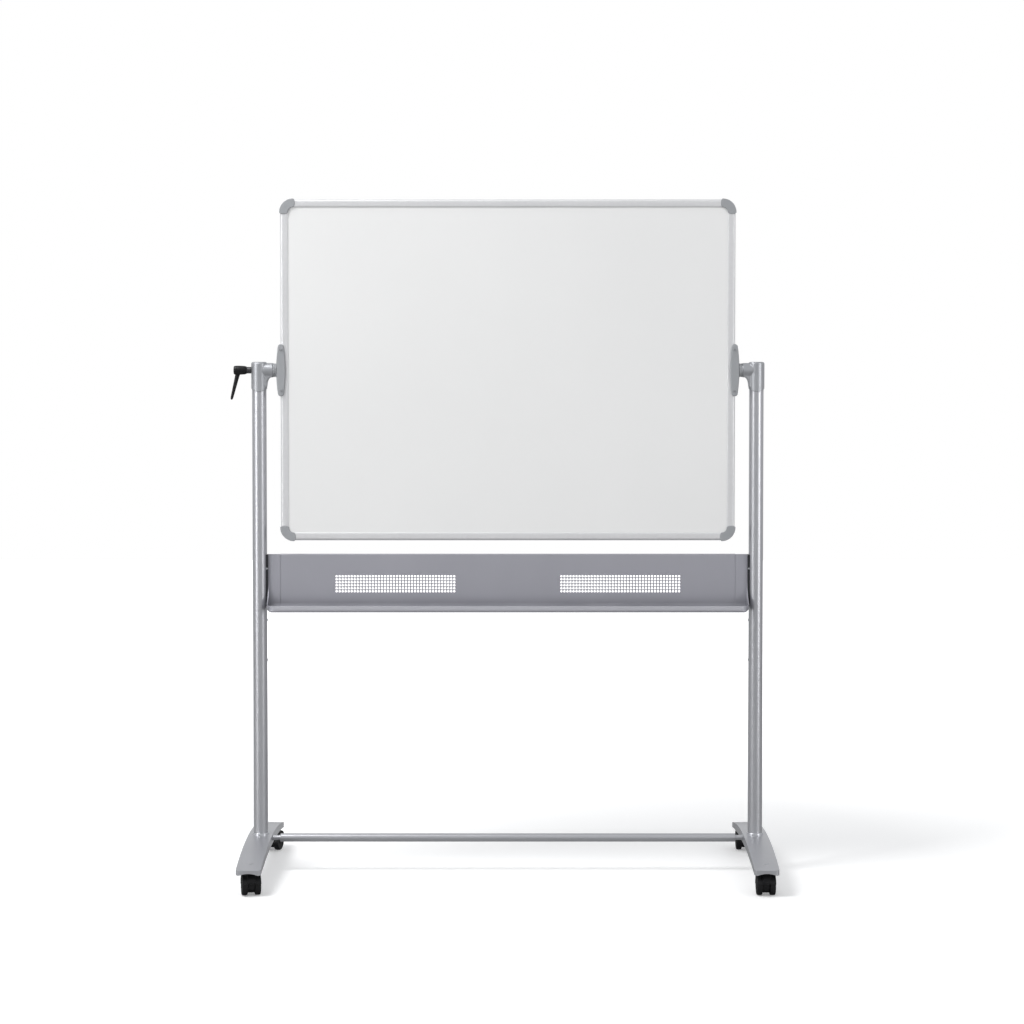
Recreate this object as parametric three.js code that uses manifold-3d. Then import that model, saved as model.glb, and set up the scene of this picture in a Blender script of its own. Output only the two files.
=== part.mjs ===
// Rolling whiteboard: a double-sided steel-faced board in an aluminium frame, turning end over end
// between two round posts on arched feet, with a pen tray, a cross bar and four twin-wheel casters.
// Millimetres, +Z up, the writer stands at -Y. The origin is on the floor, in the middle of the
// object's footprint, which the clamp lever on the left makes a little wider on that side.
import * as THREE from "three";
import { mergeVertices } from "three/addons/utils/BufferGeometryUtils.js";
import Module from "manifold-3d";

const wasm = await Module();
wasm.setup();

// ---- Driving dimensions ----

const GAP = 0.3; // between pieces that touch

// Board
const BOARD_WIDTH = 1200;
const BOARD_HEIGHT = 900;
const PIVOT_HEIGHT = 1333;
const RAIL_FACE = 21;
const RAIL_DEPTH = 22;
const RAIL_WALL = 1.8;
const RAIL_END = 30; // from the board's outer corner to the end of each rail
const PANEL_BITE = 10; // how far the panel reaches into the rails
const CAP_OUTER = 36;
const CAP_INNER = 13;
const CAP_END = 5;
const CAP_PROUD = 1.8; // how far each corner cap stands out from the rails
const CORE_DEPTH = 15;
const STEEL_SHEET = 0.6;
const GLUE = 0.2; // between the core and each steel sheet

// Posts and heads
const POST_SPACING = 1314;
const POST_RADIUS = 19;
const POST_WALL = 1.5;
const POST_TOP = 1312;
const HEAD_RADIUS = 21;
const HEAD_TOP = 1355;
const HEAD_SKIRT = 1286;
const HEAD_TONGUE = 1276; // the skirt dips to here at the front and back
const ARM_RADIUS = 19;
const ARM_END = 619.5; // from the board's centre
const SHAFT_RADIUS = 10;
const STUD_RADIUS = 4;

// Feet and cross bar
const FOOT_LENGTH = 600;
const FOOT_WIDTH = 64;
const FOOT_CROWN = 100;
const FOOT_TIP = 69;
const FOOT_SKIRT_CROWN = 77;
const FOOT_SKIRT_TIP = 56;
const FOOT_WALL = 2.5;
const BOLT_RADIUS = 5;
const BOLT_HOLE = 5.5;
const BAR_HEIGHT = 90;
const BAR_RADIUS = 11;
const BAR_HALF = 605;
const SPIGOT_RADIUS = 5;

// Pen tray
const TRAY_TOP = 846;
const TRAY_FLOOR = 698;
const TRAY_LIP = 715;
const TRAY_REACH = 69;
const TRAY_SHEET = 1.5;
const TRAY_FLANGE = 10; // how far the top edge is turned back
const TRAY_HALF = 603;
const TRAY_END = 635;

// Casters
const CASTER_Y = 250;
const CASTER_TRAIL = 16;
const WHEEL_RADIUS = 25;
const WHEEL_INNER = 9.3;
const WHEEL_OUTER = 24;
const HOOD_INNER = 26.6;
const HOOD_OUTER = 29;
const CASTER_TOP = 54;
const AXLE_RADIUS = 3;
const STEM_RADIUS = 5;

// Clamp lever, measured outwards from the board's centre
const HUB_INNER = 690;
const HUB_OUTER = 724;
const LEVER_REACH = 734;

const POST_X = POST_SPACING / 2;
const FOOTPRINT_SHIFT = (LEVER_REACH - POST_X - FOOT_WIDTH / 2) / 2;

// ---- Materials ----

const finish = (color, roughness, metalness) =>
  new THREE.MeshStandardMaterial({ color, roughness, metalness });
const whiteEnamel = finish(0xeeeeec, 0.22, 0);
const honeycomb = finish(0xb59a6c, 0.9, 0);
const anodised = finish(0xc9c9cd, 0.35, 0.9);
const greyPlastic = finish(0x9fa0a5, 0.5, 0);
const silverPaint = finish(0xb4b5ba, 0.35, 0.7);
const castSilver = finish(0xa6a9ad, 0.4, 0.8);
const trayPaint = finish(0x9b9ba3, 0.5, 0.4);
const blackPlastic = finish(0x101012, 0.45, 0);
const softBlack = finish(0x17171a, 0.8, 0);
const blackSteel = finish(0x1a1a1d, 0.4, 0.8);
const zincSteel = finish(0xc4c6c8, 0.3, 1);

// ---- Solids ----

// The solid of a closed geometry, with its faces pointing out.
function solidOf(geometry) {
  const bare = geometry.clone().deleteAttribute("normal").deleteAttribute("uv");
  const merged = mergeVertices(bare, 1e-4);
  const index = merged.index.array;
  const corners = [];
  for (let i = 0; i < index.length; i += 3) {
    const [a, b, c] = index.slice(i, i + 3);
    if (a !== b && b !== c && c !== a) corners.push(a, b, c);
  }
  const build = (list) =>
    new wasm.Manifold(
      new wasm.Mesh({
        numProp: 3,
        vertProperties: merged.attributes.position.array,
        triVerts: new Uint32Array(list),
      }),
    );
  const solid = build(corners);
  return solid.volume() < 0 ? build(corners.reverse()) : solid;
}

function geometryOf(solid) {
  const { vertProperties, triVerts, numProp } = solid.getMesh();
  const geometry = new THREE.BufferGeometry();
  geometry.setAttribute("position", new THREE.BufferAttribute(vertProperties, numProp));
  geometry.setIndex(new THREE.BufferAttribute(triVerts, 1));
  return geometry;
}

const join = (...bodies) => geometryOf(bodies.map(solidOf).reduce((a, b) => a.add(b)));
const meet = (a, b) => geometryOf(solidOf(a).intersect(solidOf(b)));
const cut = (body, ...tools) =>
  geometryOf(tools.map(solidOf).reduce((a, b) => a.subtract(b), solidOf(body)));

const AXES_ALONG_X = new THREE.Matrix4().makeBasis(
  new THREE.Vector3(0, 1, 0),
  new THREE.Vector3(0, 0, 1),
  new THREE.Vector3(1, 0, 0),
);
const AXES_ALONG_Y = new THREE.Matrix4().makeBasis(
  new THREE.Vector3(1, 0, 0),
  new THREE.Vector3(0, 0, 1),
  new THREE.Vector3(0, -1, 0),
);

// A shape in x and y, extruded from low to high along Z, with its ends bevelled.
function alongZ(shape, low, high, { bevel = 0, curveSegments = 8, steps = 1 } = {}) {
  const geometry = new THREE.ExtrudeGeometry(shape, {
    depth: high - low - 2 * bevel,
    steps,
    bevelEnabled: bevel > 0,
    bevelThickness: bevel,
    bevelSize: bevel,
    bevelOffset: -bevel,
    bevelSegments: 1,
    curveSegments,
  });
  return geometry.translate(0, 0, low + bevel);
}

// A shape in y and z, extruded along X, and one in x and z, extruded along Y.
const alongX = (shape, low, high, options) =>
  alongZ(shape, low, high, options).applyMatrix4(AXES_ALONG_X);
const alongY = (shape, low, high, options) =>
  alongZ(shape, -high, -low, options).applyMatrix4(AXES_ALONG_Y);

// A profile of [radius, height] points turned about Z, or about X with its heights along X.
function turnedZ(profile, sides) {
  const points = profile.map(([radius, height]) => new THREE.Vector2(radius, height));
  return new THREE.LatheGeometry(points, sides).rotateX(Math.PI / 2);
}
const turnedX = (profile, sides) => turnedZ(profile, sides).rotateY(Math.PI / 2);

const rodProfile = (radius, low, high) => [[0, low], [radius, low], [radius, high], [0, high]];
const rodZ = (radius, low, high, sides = 20) => turnedZ(rodProfile(radius, low, high), sides);
const rodX = (radius, low, high, sides = 20) => turnedX(rodProfile(radius, low, high), sides);

function block([x0, x1], [y0, y1], [z0, z1]) {
  const box = new THREE.BoxGeometry(x1 - x0, y1 - y0, z1 - z0);
  return box.translate((x0 + x1) / 2, (y0 + y1) / 2, (z0 + z1) / 2);
}

const polygon = (points) => new THREE.Shape(points.map(([a, b]) => new THREE.Vector2(a, b)));

function roundedRectangle(width, height, radius) {
  const x = width / 2 - radius;
  const y = height / 2 - radius;
  const shape = new THREE.Shape();
  shape.absarc(x, y, radius, 0, Math.PI / 2);
  shape.absarc(-x, y, radius, Math.PI / 2, Math.PI);
  shape.absarc(-x, -y, radius, Math.PI, 1.5 * Math.PI);
  shape.absarc(x, -y, radius, 1.5 * Math.PI, 2 * Math.PI);
  return shape;
}

// Points on an arc, from one angle to another, both in degrees.
function arcPoints(x, y, radius, from, to, steps) {
  return Array.from({ length: steps + 1 }, (_, i) => {
    const angle = THREE.MathUtils.degToRad(from + ((to - from) * i) / steps);
    return [x + radius * Math.cos(angle), y + radius * Math.sin(angle)];
  });
}

const whiteboard = new THREE.Group();

function piece(name, geometry, material, parent) {
  const mesh = new THREE.Mesh(geometryOf(solidOf(geometry)), material);
  mesh.name = name;
  parent.add(mesh);
  return mesh;
}

// Left-hand pieces are mirror images of the right-hand ones.
const SIDES = [
  { side: "left", sign: -1 },
  { side: "right", sign: 1 },
];

function sideGroup(sign, parent) {
  const group = new THREE.Group();
  group.scale.x = sign;
  parent.add(group);
  return group;
}

// ---- Board ----

const board = new THREE.Group();
board.position.z = PIVOT_HEIGHT;
whiteboard.add(board);

const HALF_WIDTH = BOARD_WIDTH / 2;
const HALF_HEIGHT = BOARD_HEIGHT / 2;
const PANEL_HALF_DEPTH = CORE_DEPTH / 2 + GLUE + STEEL_SHEET;

function panelSheets() {
  const width = BOARD_WIDTH - 2 * (RAIL_FACE - PANEL_BITE);
  const height = BOARD_HEIGHT - 2 * (RAIL_FACE - PANEL_BITE);
  const sheetY = CORE_DEPTH / 2 + GLUE + STEEL_SHEET / 2;
  const sheet = () => new THREE.BoxGeometry(width, STEEL_SHEET, height, 3, 1, 3);
  piece("board_core", new THREE.BoxGeometry(width, CORE_DEPTH, height), honeycomb, board);
  piece("writing_sheet_front", sheet().translate(0, -sheetY, 0), whiteEnamel, board);
  piece("writing_sheet_back", sheet().translate(0, sheetY, 0), whiteEnamel, board);
}

// The frame's section: u runs outwards from the inner lip, v through the board. The slot takes the panel.
function railSection({ grow = 0, slotted = true } = {}) {
  const edge = RAIL_FACE + grow;
  const half = RAIL_DEPTH / 2 + grow;
  const lip = half - 1.6;
  const chamfer = 4;
  const corner = 7;
  const outline = [
    [-grow, lip],
    [chamfer, half],
    ...arcPoints(edge - corner, half - corner, corner, 90, 0, 4),
    ...arcPoints(edge - corner, corner - half, corner, 0, -90, 4),
    [chamfer, -half],
    [-grow, -lip],
  ];
  if (slotted) {
    const slot = PANEL_HALF_DEPTH + GAP;
    const bottom = RAIL_FACE - RAIL_WALL;
    const round = 5;
    outline.push(
      [0, -slot],
      ...arcPoints(bottom - round, round - slot, round, -90, 0, 3),
      ...arcPoints(bottom - round, slot - round, round, 0, 90, 3),
      [0, slot],
    );
  }
  return polygon(outline);
}

// A rail along each edge, its outer face on the board's outline.
function rail(section, distance, length, angle) {
  return alongZ(section, -length / 2, length / 2, { steps: 3 })
    .translate(distance - RAIL_FACE, 0, 0)
    .rotateY(angle);
}

function frameRails() {
  const section = railSection();
  const across = BOARD_WIDTH - 2 * RAIL_END;
  const upright = BOARD_HEIGHT - 2 * RAIL_END;
  piece("frame_rail_top", rail(section, HALF_HEIGHT, across, -Math.PI / 2), anodised, board);
  piece("frame_rail_bottom", rail(section, HALF_HEIGHT, across, Math.PI / 2), anodised, board);
  piece("frame_rail_left", rail(section, HALF_WIDTH, upright, Math.PI), anodised, board);
  piece("frame_rail_right", rail(section, HALF_WIDTH, upright, 0), anodised, board);
}

// A quarter ring about the origin, with rounded ends.
function bean(outer, inner, endRounding) {
  const middle = (outer + inner) / 2;
  const half = (outer - inner) / 2;
  const shape = new THREE.Shape();
  shape.absarc(0, 0, outer, 0, Math.PI / 2);
  shape.absellipse(0, middle, endRounding, half, Math.PI / 2, 1.5 * Math.PI);
  shape.absarc(0, 0, inner, Math.PI / 2, 0, true);
  shape.absellipse(middle, 0, half, endRounding, Math.PI, 2 * Math.PI);
  return shape;
}

// Plastic corner, made for the top right: it takes both rails' ends and the panel's corner.
function cornerCap() {
  const depth = RAIL_DEPTH / 2 + CAP_PROUD;
  const outline = bean(CAP_OUTER, CAP_INNER, CAP_END);
  const body = alongY(outline, -depth, depth, { bevel: 1.5, curveSegments: 5 });
  body.translate(HALF_WIDTH + CAP_PROUD - CAP_OUTER, 0, HALF_HEIGHT + CAP_PROUD - CAP_OUTER);
  const envelope = railSection({ grow: GAP, slotted: false });
  const reach = 60; // of each cutting body into the cap
  const railEnd = RAIL_END - GAP + reach / 2;
  const side = rail(envelope, HALF_WIDTH, reach, 0).translate(0, 0, HALF_HEIGHT - railEnd);
  const top = rail(envelope, HALF_HEIGHT, reach, -Math.PI / 2).translate(HALF_WIDTH - railEnd, 0, 0);
  const corner = RAIL_FACE - PANEL_BITE - GAP;
  const panel = block(
    [HALF_WIDTH - corner - reach, HALF_WIDTH - corner],
    [-PANEL_HALF_DEPTH - GAP, PANEL_HALF_DEPTH + GAP],
    [HALF_HEIGHT - corner - reach, HALF_HEIGHT - corner],
  );
  return cut(body, side, top, panel);
}

function cornerCaps() {
  const geometry = cornerCap();
  const turns = {
    top_right: [0, 0, 0],
    top_left: [0, 0, Math.PI],
    bottom_right: [Math.PI, 0, 0],
    bottom_left: [0, Math.PI, 0],
  };
  for (const [name, turn] of Object.entries(turns)) {
    piece(`corner_cap_${name}`, geometry, greyPlastic, board).rotation.set(...turn);
  }
}

// ---- Pivots ----

const HOUSING_X = 598.5;
const HOUSING_HALF_LENGTH = 69;
const HOUSING_HALF_WIDTH = 12.3;
const HOUSING_HALF_DEPTH = 16;
const HOUSING_END_RADIUS = 8;
const FLANGE = { inner: HALF_WIDTH + GAP, outer: HALF_WIDTH + 3.3, halfDepth: 11, halfHeight: 30 };
const SHAFT_END = POST_X - 17;
const SHAFT_PLAY = 0.5;
const THREAD_DEPTH = 22;
const SCREW = { x: HOUSING_X - 1, z: 54, radius: 1.9, length: 3.9, headRadius: 3.4, headHeight: 2.1 };

// A long oval with round ends, its sides two arcs that run into them.
function housingOutline() {
  const endRadius = HOUSING_END_RADIUS;
  const endZ = HOUSING_HALF_LENGTH - endRadius;
  const spread = HOUSING_HALF_WIDTH ** 2 + endZ ** 2 - endRadius ** 2;
  const sideRadius = spread / (2 * (HOUSING_HALF_WIDTH - endRadius));
  const centre = sideRadius - HOUSING_HALF_WIDTH;
  const angle = Math.atan2(endZ, centre);
  const shape = new THREE.Shape();
  shape.absarc(-centre, 0, sideRadius, -angle, angle);
  shape.absarc(0, endZ, endRadius, angle, Math.PI - angle);
  shape.absarc(centre, 0, sideRadius, Math.PI - angle, Math.PI + angle);
  shape.absarc(0, -endZ, endRadius, Math.PI + angle, 2 * Math.PI - angle);
  return shape;
}

function pivotHousing() {
  const rounding = { bevel: 3, curveSegments: 5 };
  const body = alongY(housingOutline(), -HOUSING_HALF_DEPTH, HOUSING_HALF_DEPTH, rounding);
  body.translate(HOUSING_X, 0, 0);
  const envelope = railSection({ grow: GAP, slotted: false });
  const rails = rail(envelope, HALF_WIDTH, 2 * HOUSING_HALF_LENGTH + 20, 0);
  const flange = block(
    [FLANGE.inner - 1, FLANGE.outer + GAP],
    [-FLANGE.halfDepth - GAP, FLANGE.halfDepth + GAP],
    [-FLANGE.halfHeight - GAP, FLANGE.halfHeight + GAP],
  );
  const bore = rodX(SHAFT_RADIUS + SHAFT_PLAY, FLANGE.outer - 1, FLANGE.outer + 20);
  const screwHoles = [-SCREW.z, SCREW.z].map((z) => {
    const hole = rodZ(SCREW.radius + 0.4, 10, 20, 12).rotateX(Math.PI / 2);
    return hole.translate(SCREW.x, 0, z);
  });
  return cut(body, rails, flange, bore, ...screwHoles);
}

function pivotShaft(withThread) {
  const flange = block(
    [FLANGE.inner, FLANGE.outer],
    [-FLANGE.halfDepth, FLANGE.halfDepth],
    [-FLANGE.halfHeight, FLANGE.halfHeight],
  );
  const shaft = join(flange, rodX(SHAFT_RADIUS, FLANGE.outer - 1, SHAFT_END));
  const thread = rodX(STUD_RADIUS + 0.4, SHAFT_END - THREAD_DEPTH, SHAFT_END + 5, 16);
  return withThread ? cut(shaft, thread) : shaft;
}

// A pan-head screw lying along Y, with its head on the housing's front.
function housingScrew() {
  const { radius, length, headRadius, headHeight } = SCREW;
  const top = -length - headHeight;
  const profile = [
    [0, 0],
    [radius, 0],
    [radius, -length],
    [headRadius, -length],
    [headRadius, top + 0.8],
    [headRadius - 1.2, top],
    [0, top],
  ];
  const screw = turnedZ(profile, 12).rotateX(-Math.PI / 2);
  return screw.translate(0, length - HOUSING_HALF_DEPTH - GAP, 0);
}

function pivots() {
  for (const { side, sign } of SIDES) {
    const group = sideGroup(sign, board);
    piece(`pivot_housing_${side}`, pivotHousing(), greyPlastic, group);
    piece(`pivot_shaft_${side}`, pivotShaft(side === "left"), zincSteel, group);
    for (const [end, z] of [["top", SCREW.z], ["bottom", -SCREW.z]]) {
      const screw = piece(`housing_screw_${side}_${end}`, housingScrew(), zincSteel, group);
      screw.position.set(SCREW.x, 0, z);
    }
  }
}

// ---- Heads on the posts ----

// The arm and socket are one casting; a concave web fills the corner under the arm.
function headBracket(withStud) {
  const profile = [
    [0, HEAD_TONGUE],
    [HEAD_RADIUS, HEAD_TONGUE],
    [HEAD_RADIUS, HEAD_TOP - 4],
    [HEAD_RADIUS - 1.2, HEAD_TOP - 1.6],
    [HEAD_RADIUS - 4, HEAD_TOP - 0.5],
    [0, HEAD_TOP],
  ];
  const socket = turnedZ(profile, 24).translate(POST_X, 0, 0);
  const arm = rodX(ARM_RADIUS, ARM_END, POST_X, 24).translate(0, 0, PIVOT_HEIGHT);
  const webSide = POST_X - HEAD_RADIUS;
  const webTop = PIVOT_HEIGHT - ARM_RADIUS + 1;
  const web = new THREE.Shape();
  web.moveTo(POST_X, PIVOT_HEIGHT);
  web.lineTo(ARM_END + 2, PIVOT_HEIGHT);
  web.lineTo(ARM_END + 2, webTop);
  web.quadraticCurveTo(webSide, webTop, webSide, HEAD_SKIRT + 3);
  web.lineTo(POST_X, HEAD_SKIRT + 3);
  const webHalf = 13;
  const body = join(socket, arm, alongY(web, -webHalf, webHalf, { bevel: 3, curveSegments: 6 }));
  const skirt = new THREE.Shape();
  const low = HEAD_TONGUE - 20;
  const wide = HEAD_RADIUS + 5;
  skirt.moveTo(POST_X - wide, low);
  skirt.lineTo(POST_X + wide, low);
  skirt.lineTo(POST_X + wide, HEAD_SKIRT + 3);
  skirt.quadraticCurveTo(POST_X, 2 * HEAD_TONGUE - HEAD_SKIRT - 3, POST_X - wide, HEAD_SKIRT + 3);
  const shaftBore = rodX(SHAFT_RADIUS + SHAFT_PLAY, ARM_END - 5, SHAFT_END + 0.6);
  const studBore = rodX(STUD_RADIUS + SHAFT_PLAY, SHAFT_END - 5, POST_X + wide, 16);
  const tools = [
    alongY(skirt, -wide - 14, wide + 14, { curveSegments: 6 }),
    rodZ(POST_RADIUS + GAP, low, POST_TOP + GAP, 24).translate(POST_X, 0, 0),
    shaftBore.translate(0, 0, PIVOT_HEIGHT),
  ];
  if (withStud) tools.push(studBore.translate(0, 0, PIVOT_HEIGHT));
  return cut(body, ...tools);
}

// Plastic friction washer between the housing and the arm, grooved round its rim.
function pivotWasher() {
  const low = HOUSING_X + HOUSING_HALF_WIDTH + GAP;
  const high = ARM_END - GAP;
  const bore = SHAFT_RADIUS + SHAFT_PLAY;
  const rim = 18;
  const middle = (low + high) / 2;
  const groove = 1.6;
  const profile = [
    [bore, low],
    [rim, low],
    [rim, middle - groove / 2],
    [rim - groove, middle],
    [rim, middle + groove / 2],
    [rim, high],
    [bore, high],
    [bore, low],
  ];
  return turnedX(profile, 20).translate(0, 0, PIVOT_HEIGHT);
}

// Steel tube with a plate across its foot, which the foot bolt is screwed into.
function post() {
  const low = FOOT_CROWN + 0.4;
  const inner = POST_RADIUS - POST_WALL;
  const plateTop = low + 5;
  const profile = [
    [BOLT_HOLE, low],
    [POST_RADIUS, low],
    [POST_RADIUS, POST_TOP],
    [inner, POST_TOP],
    [inner, plateTop],
    [BOLT_HOLE, plateTop],
    [BOLT_HOLE, low],
  ];
  return turnedZ(profile, 24).translate(POST_X, 0, 0);
}

// ---- Feet ----

// The arc through the foot's crown and both tips, as a centre height, radius and half angle.
function bow(half, crown, tip) {
  const rise = crown - tip;
  const radius = (half ** 2 + rise ** 2) / (2 * rise);
  return { centre: crown - radius, radius, angle: Math.asin(half / radius) };
}

function footProfile(half, top, bottom) {
  const shape = new THREE.Shape();
  const quarter = Math.PI / 2;
  shape.absarc(0, top.centre, top.radius, quarter - top.angle, quarter + top.angle);
  shape.absarc(0, bottom.centre, bottom.radius, quarter + bottom.angle, quarter - bottom.angle, true);
  return shape;
}

// The foot's outside, or its inside when it is made a wall smaller; skirt lowers its lower edge.
function footBlank(wall, skirt, bevel) {
  const half = FOOT_LENGTH / 2;
  const side = FOOT_WIDTH / 2 - wall;
  const top = bow(half, FOOT_CROWN - wall, FOOT_TIP - wall);
  const bottom = bow(half, FOOT_SKIRT_CROWN - skirt, FOOT_SKIRT_TIP - skirt);
  const plan = roundedRectangle(2 * side, FOOT_LENGTH - 2 * wall, 10 - wall);
  const arched = alongX(footProfile(half, top, bottom), -side, side, { bevel, curveSegments: 10 });
  return meet(arched, alongZ(plan, 0, FOOT_CROWN + 20, { curveSegments: 3 }));
}

// Arched steel channel, open below, with a collar for the post and a boss at each end for a caster.
function foot() {
  const half = FOOT_LENGTH / 2;
  const outside = footBlank(0, 0, 2.5);
  const inside = footBlank(FOOT_WALL, 20, 0);
  const collarTop = FOOT_CROWN + 4.5;
  const collarProfile = [
    [0, FOOT_CROWN - 2],
    [22, FOOT_CROWN - 2],
    [22, collarTop - 1.5],
    [20.8, collarTop],
    [0, collarTop],
  ];
  const collar = turnedZ(collarProfile, 24);
  const bossTop = FOOT_CROWN - CASTER_Y ** 2 / (2 * bow(half, FOOT_CROWN, FOOT_TIP).radius) - 1;
  const boss = (y) => rodZ(11, CASTER_TOP + 3, bossTop, 16).translate(0, y, 0);
  const stemHole = (y) => rodZ(STEM_RADIUS + 0.5, 40, bossTop - 2.2, 12).translate(0, y, 0);
  const archRadius = 60;
  const archRise = 5;
  const tipArch = rodZ(archRadius, -half - 10, half + 10, 48)
    .rotateX(Math.PI / 2)
    .translate(0, 0, FOOT_SKIRT_TIP + archRise - archRadius);
  const barHole = rodX(SPIGOT_RADIUS + 0.4, -FOOT_WIDTH / 2 - 5, -10, 12);
  return cut(
    join(cut(outside, inside, tipArch), collar, boss(-CASTER_Y), boss(CASTER_Y)),
    rodZ(POST_RADIUS + GAP, FOOT_CROWN, FOOT_CROWN + 20, 24),
    rodZ(BOLT_HOLE, FOOT_CROWN - 40, FOOT_CROWN + 5, 12),
    barHole.translate(0, 0, BAR_HEIGHT),
    stemHole(-CASTER_Y),
    stemHole(CASTER_Y),
  ).translate(POST_X, 0, 0);
}

// Hexagon bolt up through the foot's crown into the post.
function footBolt() {
  const seat = FOOT_CROWN - FOOT_WALL - GAP;
  const head = rodZ(8.5, seat - 6.5, seat, 6);
  const shank = rodZ(BOLT_RADIUS, seat - 1, FOOT_CROWN + 14, 12);
  return join(head, shank).translate(POST_X, 0, 0);
}

// Tube with necked ends, each with a flange on the foot's inner wall and a spigot through it.
function crossBar() {
  const wall = POST_X - FOOT_WIDTH / 2 - GAP;
  const tip = wall + 12;
  const neck = 6.5;
  const flange = { radius: 7.8, thickness: 3 };
  const half = [
    [BAR_RADIUS, BAR_HALF - 1.5],
    [BAR_RADIUS - 1.5, BAR_HALF],
    [neck, BAR_HALF],
    [neck, wall - flange.thickness],
    [flange.radius, wall - flange.thickness],
    [flange.radius, wall],
    [SPIGOT_RADIUS, wall],
    [SPIGOT_RADIUS, tip],
  ];
  const mirrored = half.map(([radius, x]) => [radius, -x]).reverse();
  return turnedX([[0, -tip], ...mirrored, ...half, [0, tip]], 20).translate(0, 0, BAR_HEIGHT);
}

// ---- Pen tray ----

const TRAY_BEND = 20;
const TRAY_TOE = 9;

// The upright panel's bend, the trough's floor and its front lip in y and z, a distance out from them.
const troughLine = (out) => [
  ...arcPoints(-TRAY_BEND, TRAY_FLOOR + TRAY_BEND, TRAY_BEND + out, 0, -90, 8),
  ...arcPoints(TRAY_TOE - TRAY_REACH, TRAY_FLOOR + TRAY_TOE, TRAY_TOE + out, -90, -180, 5),
];

// One folded sheet: a flange turned back along the top, the panel, the trough and the lip.
function penTray() {
  const out = TRAY_SHEET / 2;
  const section = polygon([
    [-out, TRAY_TOP],
    ...troughLine(-out),
    [out - TRAY_REACH, TRAY_LIP],
    [-out - TRAY_REACH, TRAY_LIP],
    ...troughLine(out).reverse(),
    [out, TRAY_TOP - TRAY_SHEET],
    [TRAY_FLANGE, TRAY_TOP - TRAY_SHEET],
    [TRAY_FLANGE, TRAY_TOP],
  ]);
  return alongX(section, -TRAY_HALF, TRAY_HALF);
}

// The outlines that round the tray's moulded ends start here, inside the end of the sheet.
const END_START = TRAY_HALF - 20;

// In plan, in x and y, its front corner is rounded.
function endPlan(reach, front, radius) {
  return polygon([
    [END_START, 5],
    [END_START, front],
    ...arcPoints(reach - radius, front + radius, radius, -90, 0, 6),
    [reach, 5],
  ]);
}

// From the front, in x and z, its lower outer corner is rounded.
function endFace(reach, low, radius) {
  return polygon([
    [END_START, low],
    ...arcPoints(reach - radius, low + radius, radius, -90, 0, 6),
    [reach, TRAY_TOP + 20],
    [END_START, TRAY_TOP + 20],
  ]);
}

// A section in y and z, drawn out along X to the reach and rounded in plan and from the front.
function endSolid(section, start, reach, front, low, radii) {
  const drawn = alongX(section, start, reach);
  const plan = alongZ(endPlan(reach, front, radii.plan), TRAY_FLOOR - 10, TRAY_TOP + 20);
  const face = alongY(endFace(reach, low, radii.face), front - 10, 10);
  return meet(meet(drawn, plan), face);
}

// Moulded end for the tray, hollow like the trough, with a cheek that sweeps up to the panel.
function trayEndCap() {
  const out = TRAY_SHEET / 2;
  const wall = 2.5;
  const front = -out - TRAY_REACH;
  const low = TRAY_FLOOR - out;
  const sweep = 62;
  const section = polygon([
    [out, TRAY_TOP],
    [out - wall, TRAY_TOP],
    ...arcPoints(-wall - sweep, TRAY_LIP + sweep, sweep, 0, -84, 8),
    [front, TRAY_LIP],
    ...troughLine(out).reverse(),
  ]);
  const hollow = polygon([
    [out - wall, TRAY_TOP + 10],
    ...troughLine(out - wall),
    [front + wall, TRAY_TOP + 10],
  ]);
  const radii = { plan: 26, face: 17 };
  const innerRadii = { plan: radii.plan - wall, face: radii.face - wall };
  const body = endSolid(section, TRAY_HALF + GAP, TRAY_END, front, low, radii);
  const inside = endSolid(hollow, TRAY_HALF - 5, TRAY_END - wall, front + wall, low + wall, innerRadii);
  return cut(body, inside);
}

// Black packing strip that beds the tray's end against the round post, notched for its hook.
function traySpacer() {
  const half = 9;
  const strip = block([TRAY_END + GAP, TRAY_END + 10], [-half, half], [TRAY_FLOOR + 10, TRAY_TOP - 1]);
  const postRod = rodZ(POST_RADIUS + GAP, TRAY_FLOOR, TRAY_TOP, 24).translate(POST_X, 0, 0);
  const hook = TRAY_TOP - 38;
  const notch = block([TRAY_END - 5, TRAY_END + 20], [-20, -4], [hook - 3, hook + 3]);
  return cut(strip, postRod, notch);
}

// ---- Clamp lever, on the left head ----

const TEETH = { radius: 7, end: 706 };
const CLAMP_SCREW = { radius: 3, start: 696, seat: 716, headRadius: 5.6, end: 721 };

// Threaded stud with a ring against the head and a toothed end for the lever's hub.
function clampStud() {
  const low = SHAFT_END - 18;
  const ring = { radius: 8.7, low: POST_X + HEAD_RADIUS + 0.5, high: HUB_INNER - GAP };
  const profile = [
    [0, low],
    [STUD_RADIUS, low],
    [STUD_RADIUS, ring.low],
    [ring.radius, ring.low],
    [ring.radius, ring.high],
    [TEETH.radius, ring.high],
    [TEETH.radius, TEETH.end],
    [0, TEETH.end],
  ];
  const thread = rodX(CLAMP_SCREW.radius + 0.4, CLAMP_SCREW.start - 2, TEETH.end + 4, 12);
  return cut(turnedX(profile, 16), thread).translate(0, 0, PIVOT_HEIGHT);
}

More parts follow.
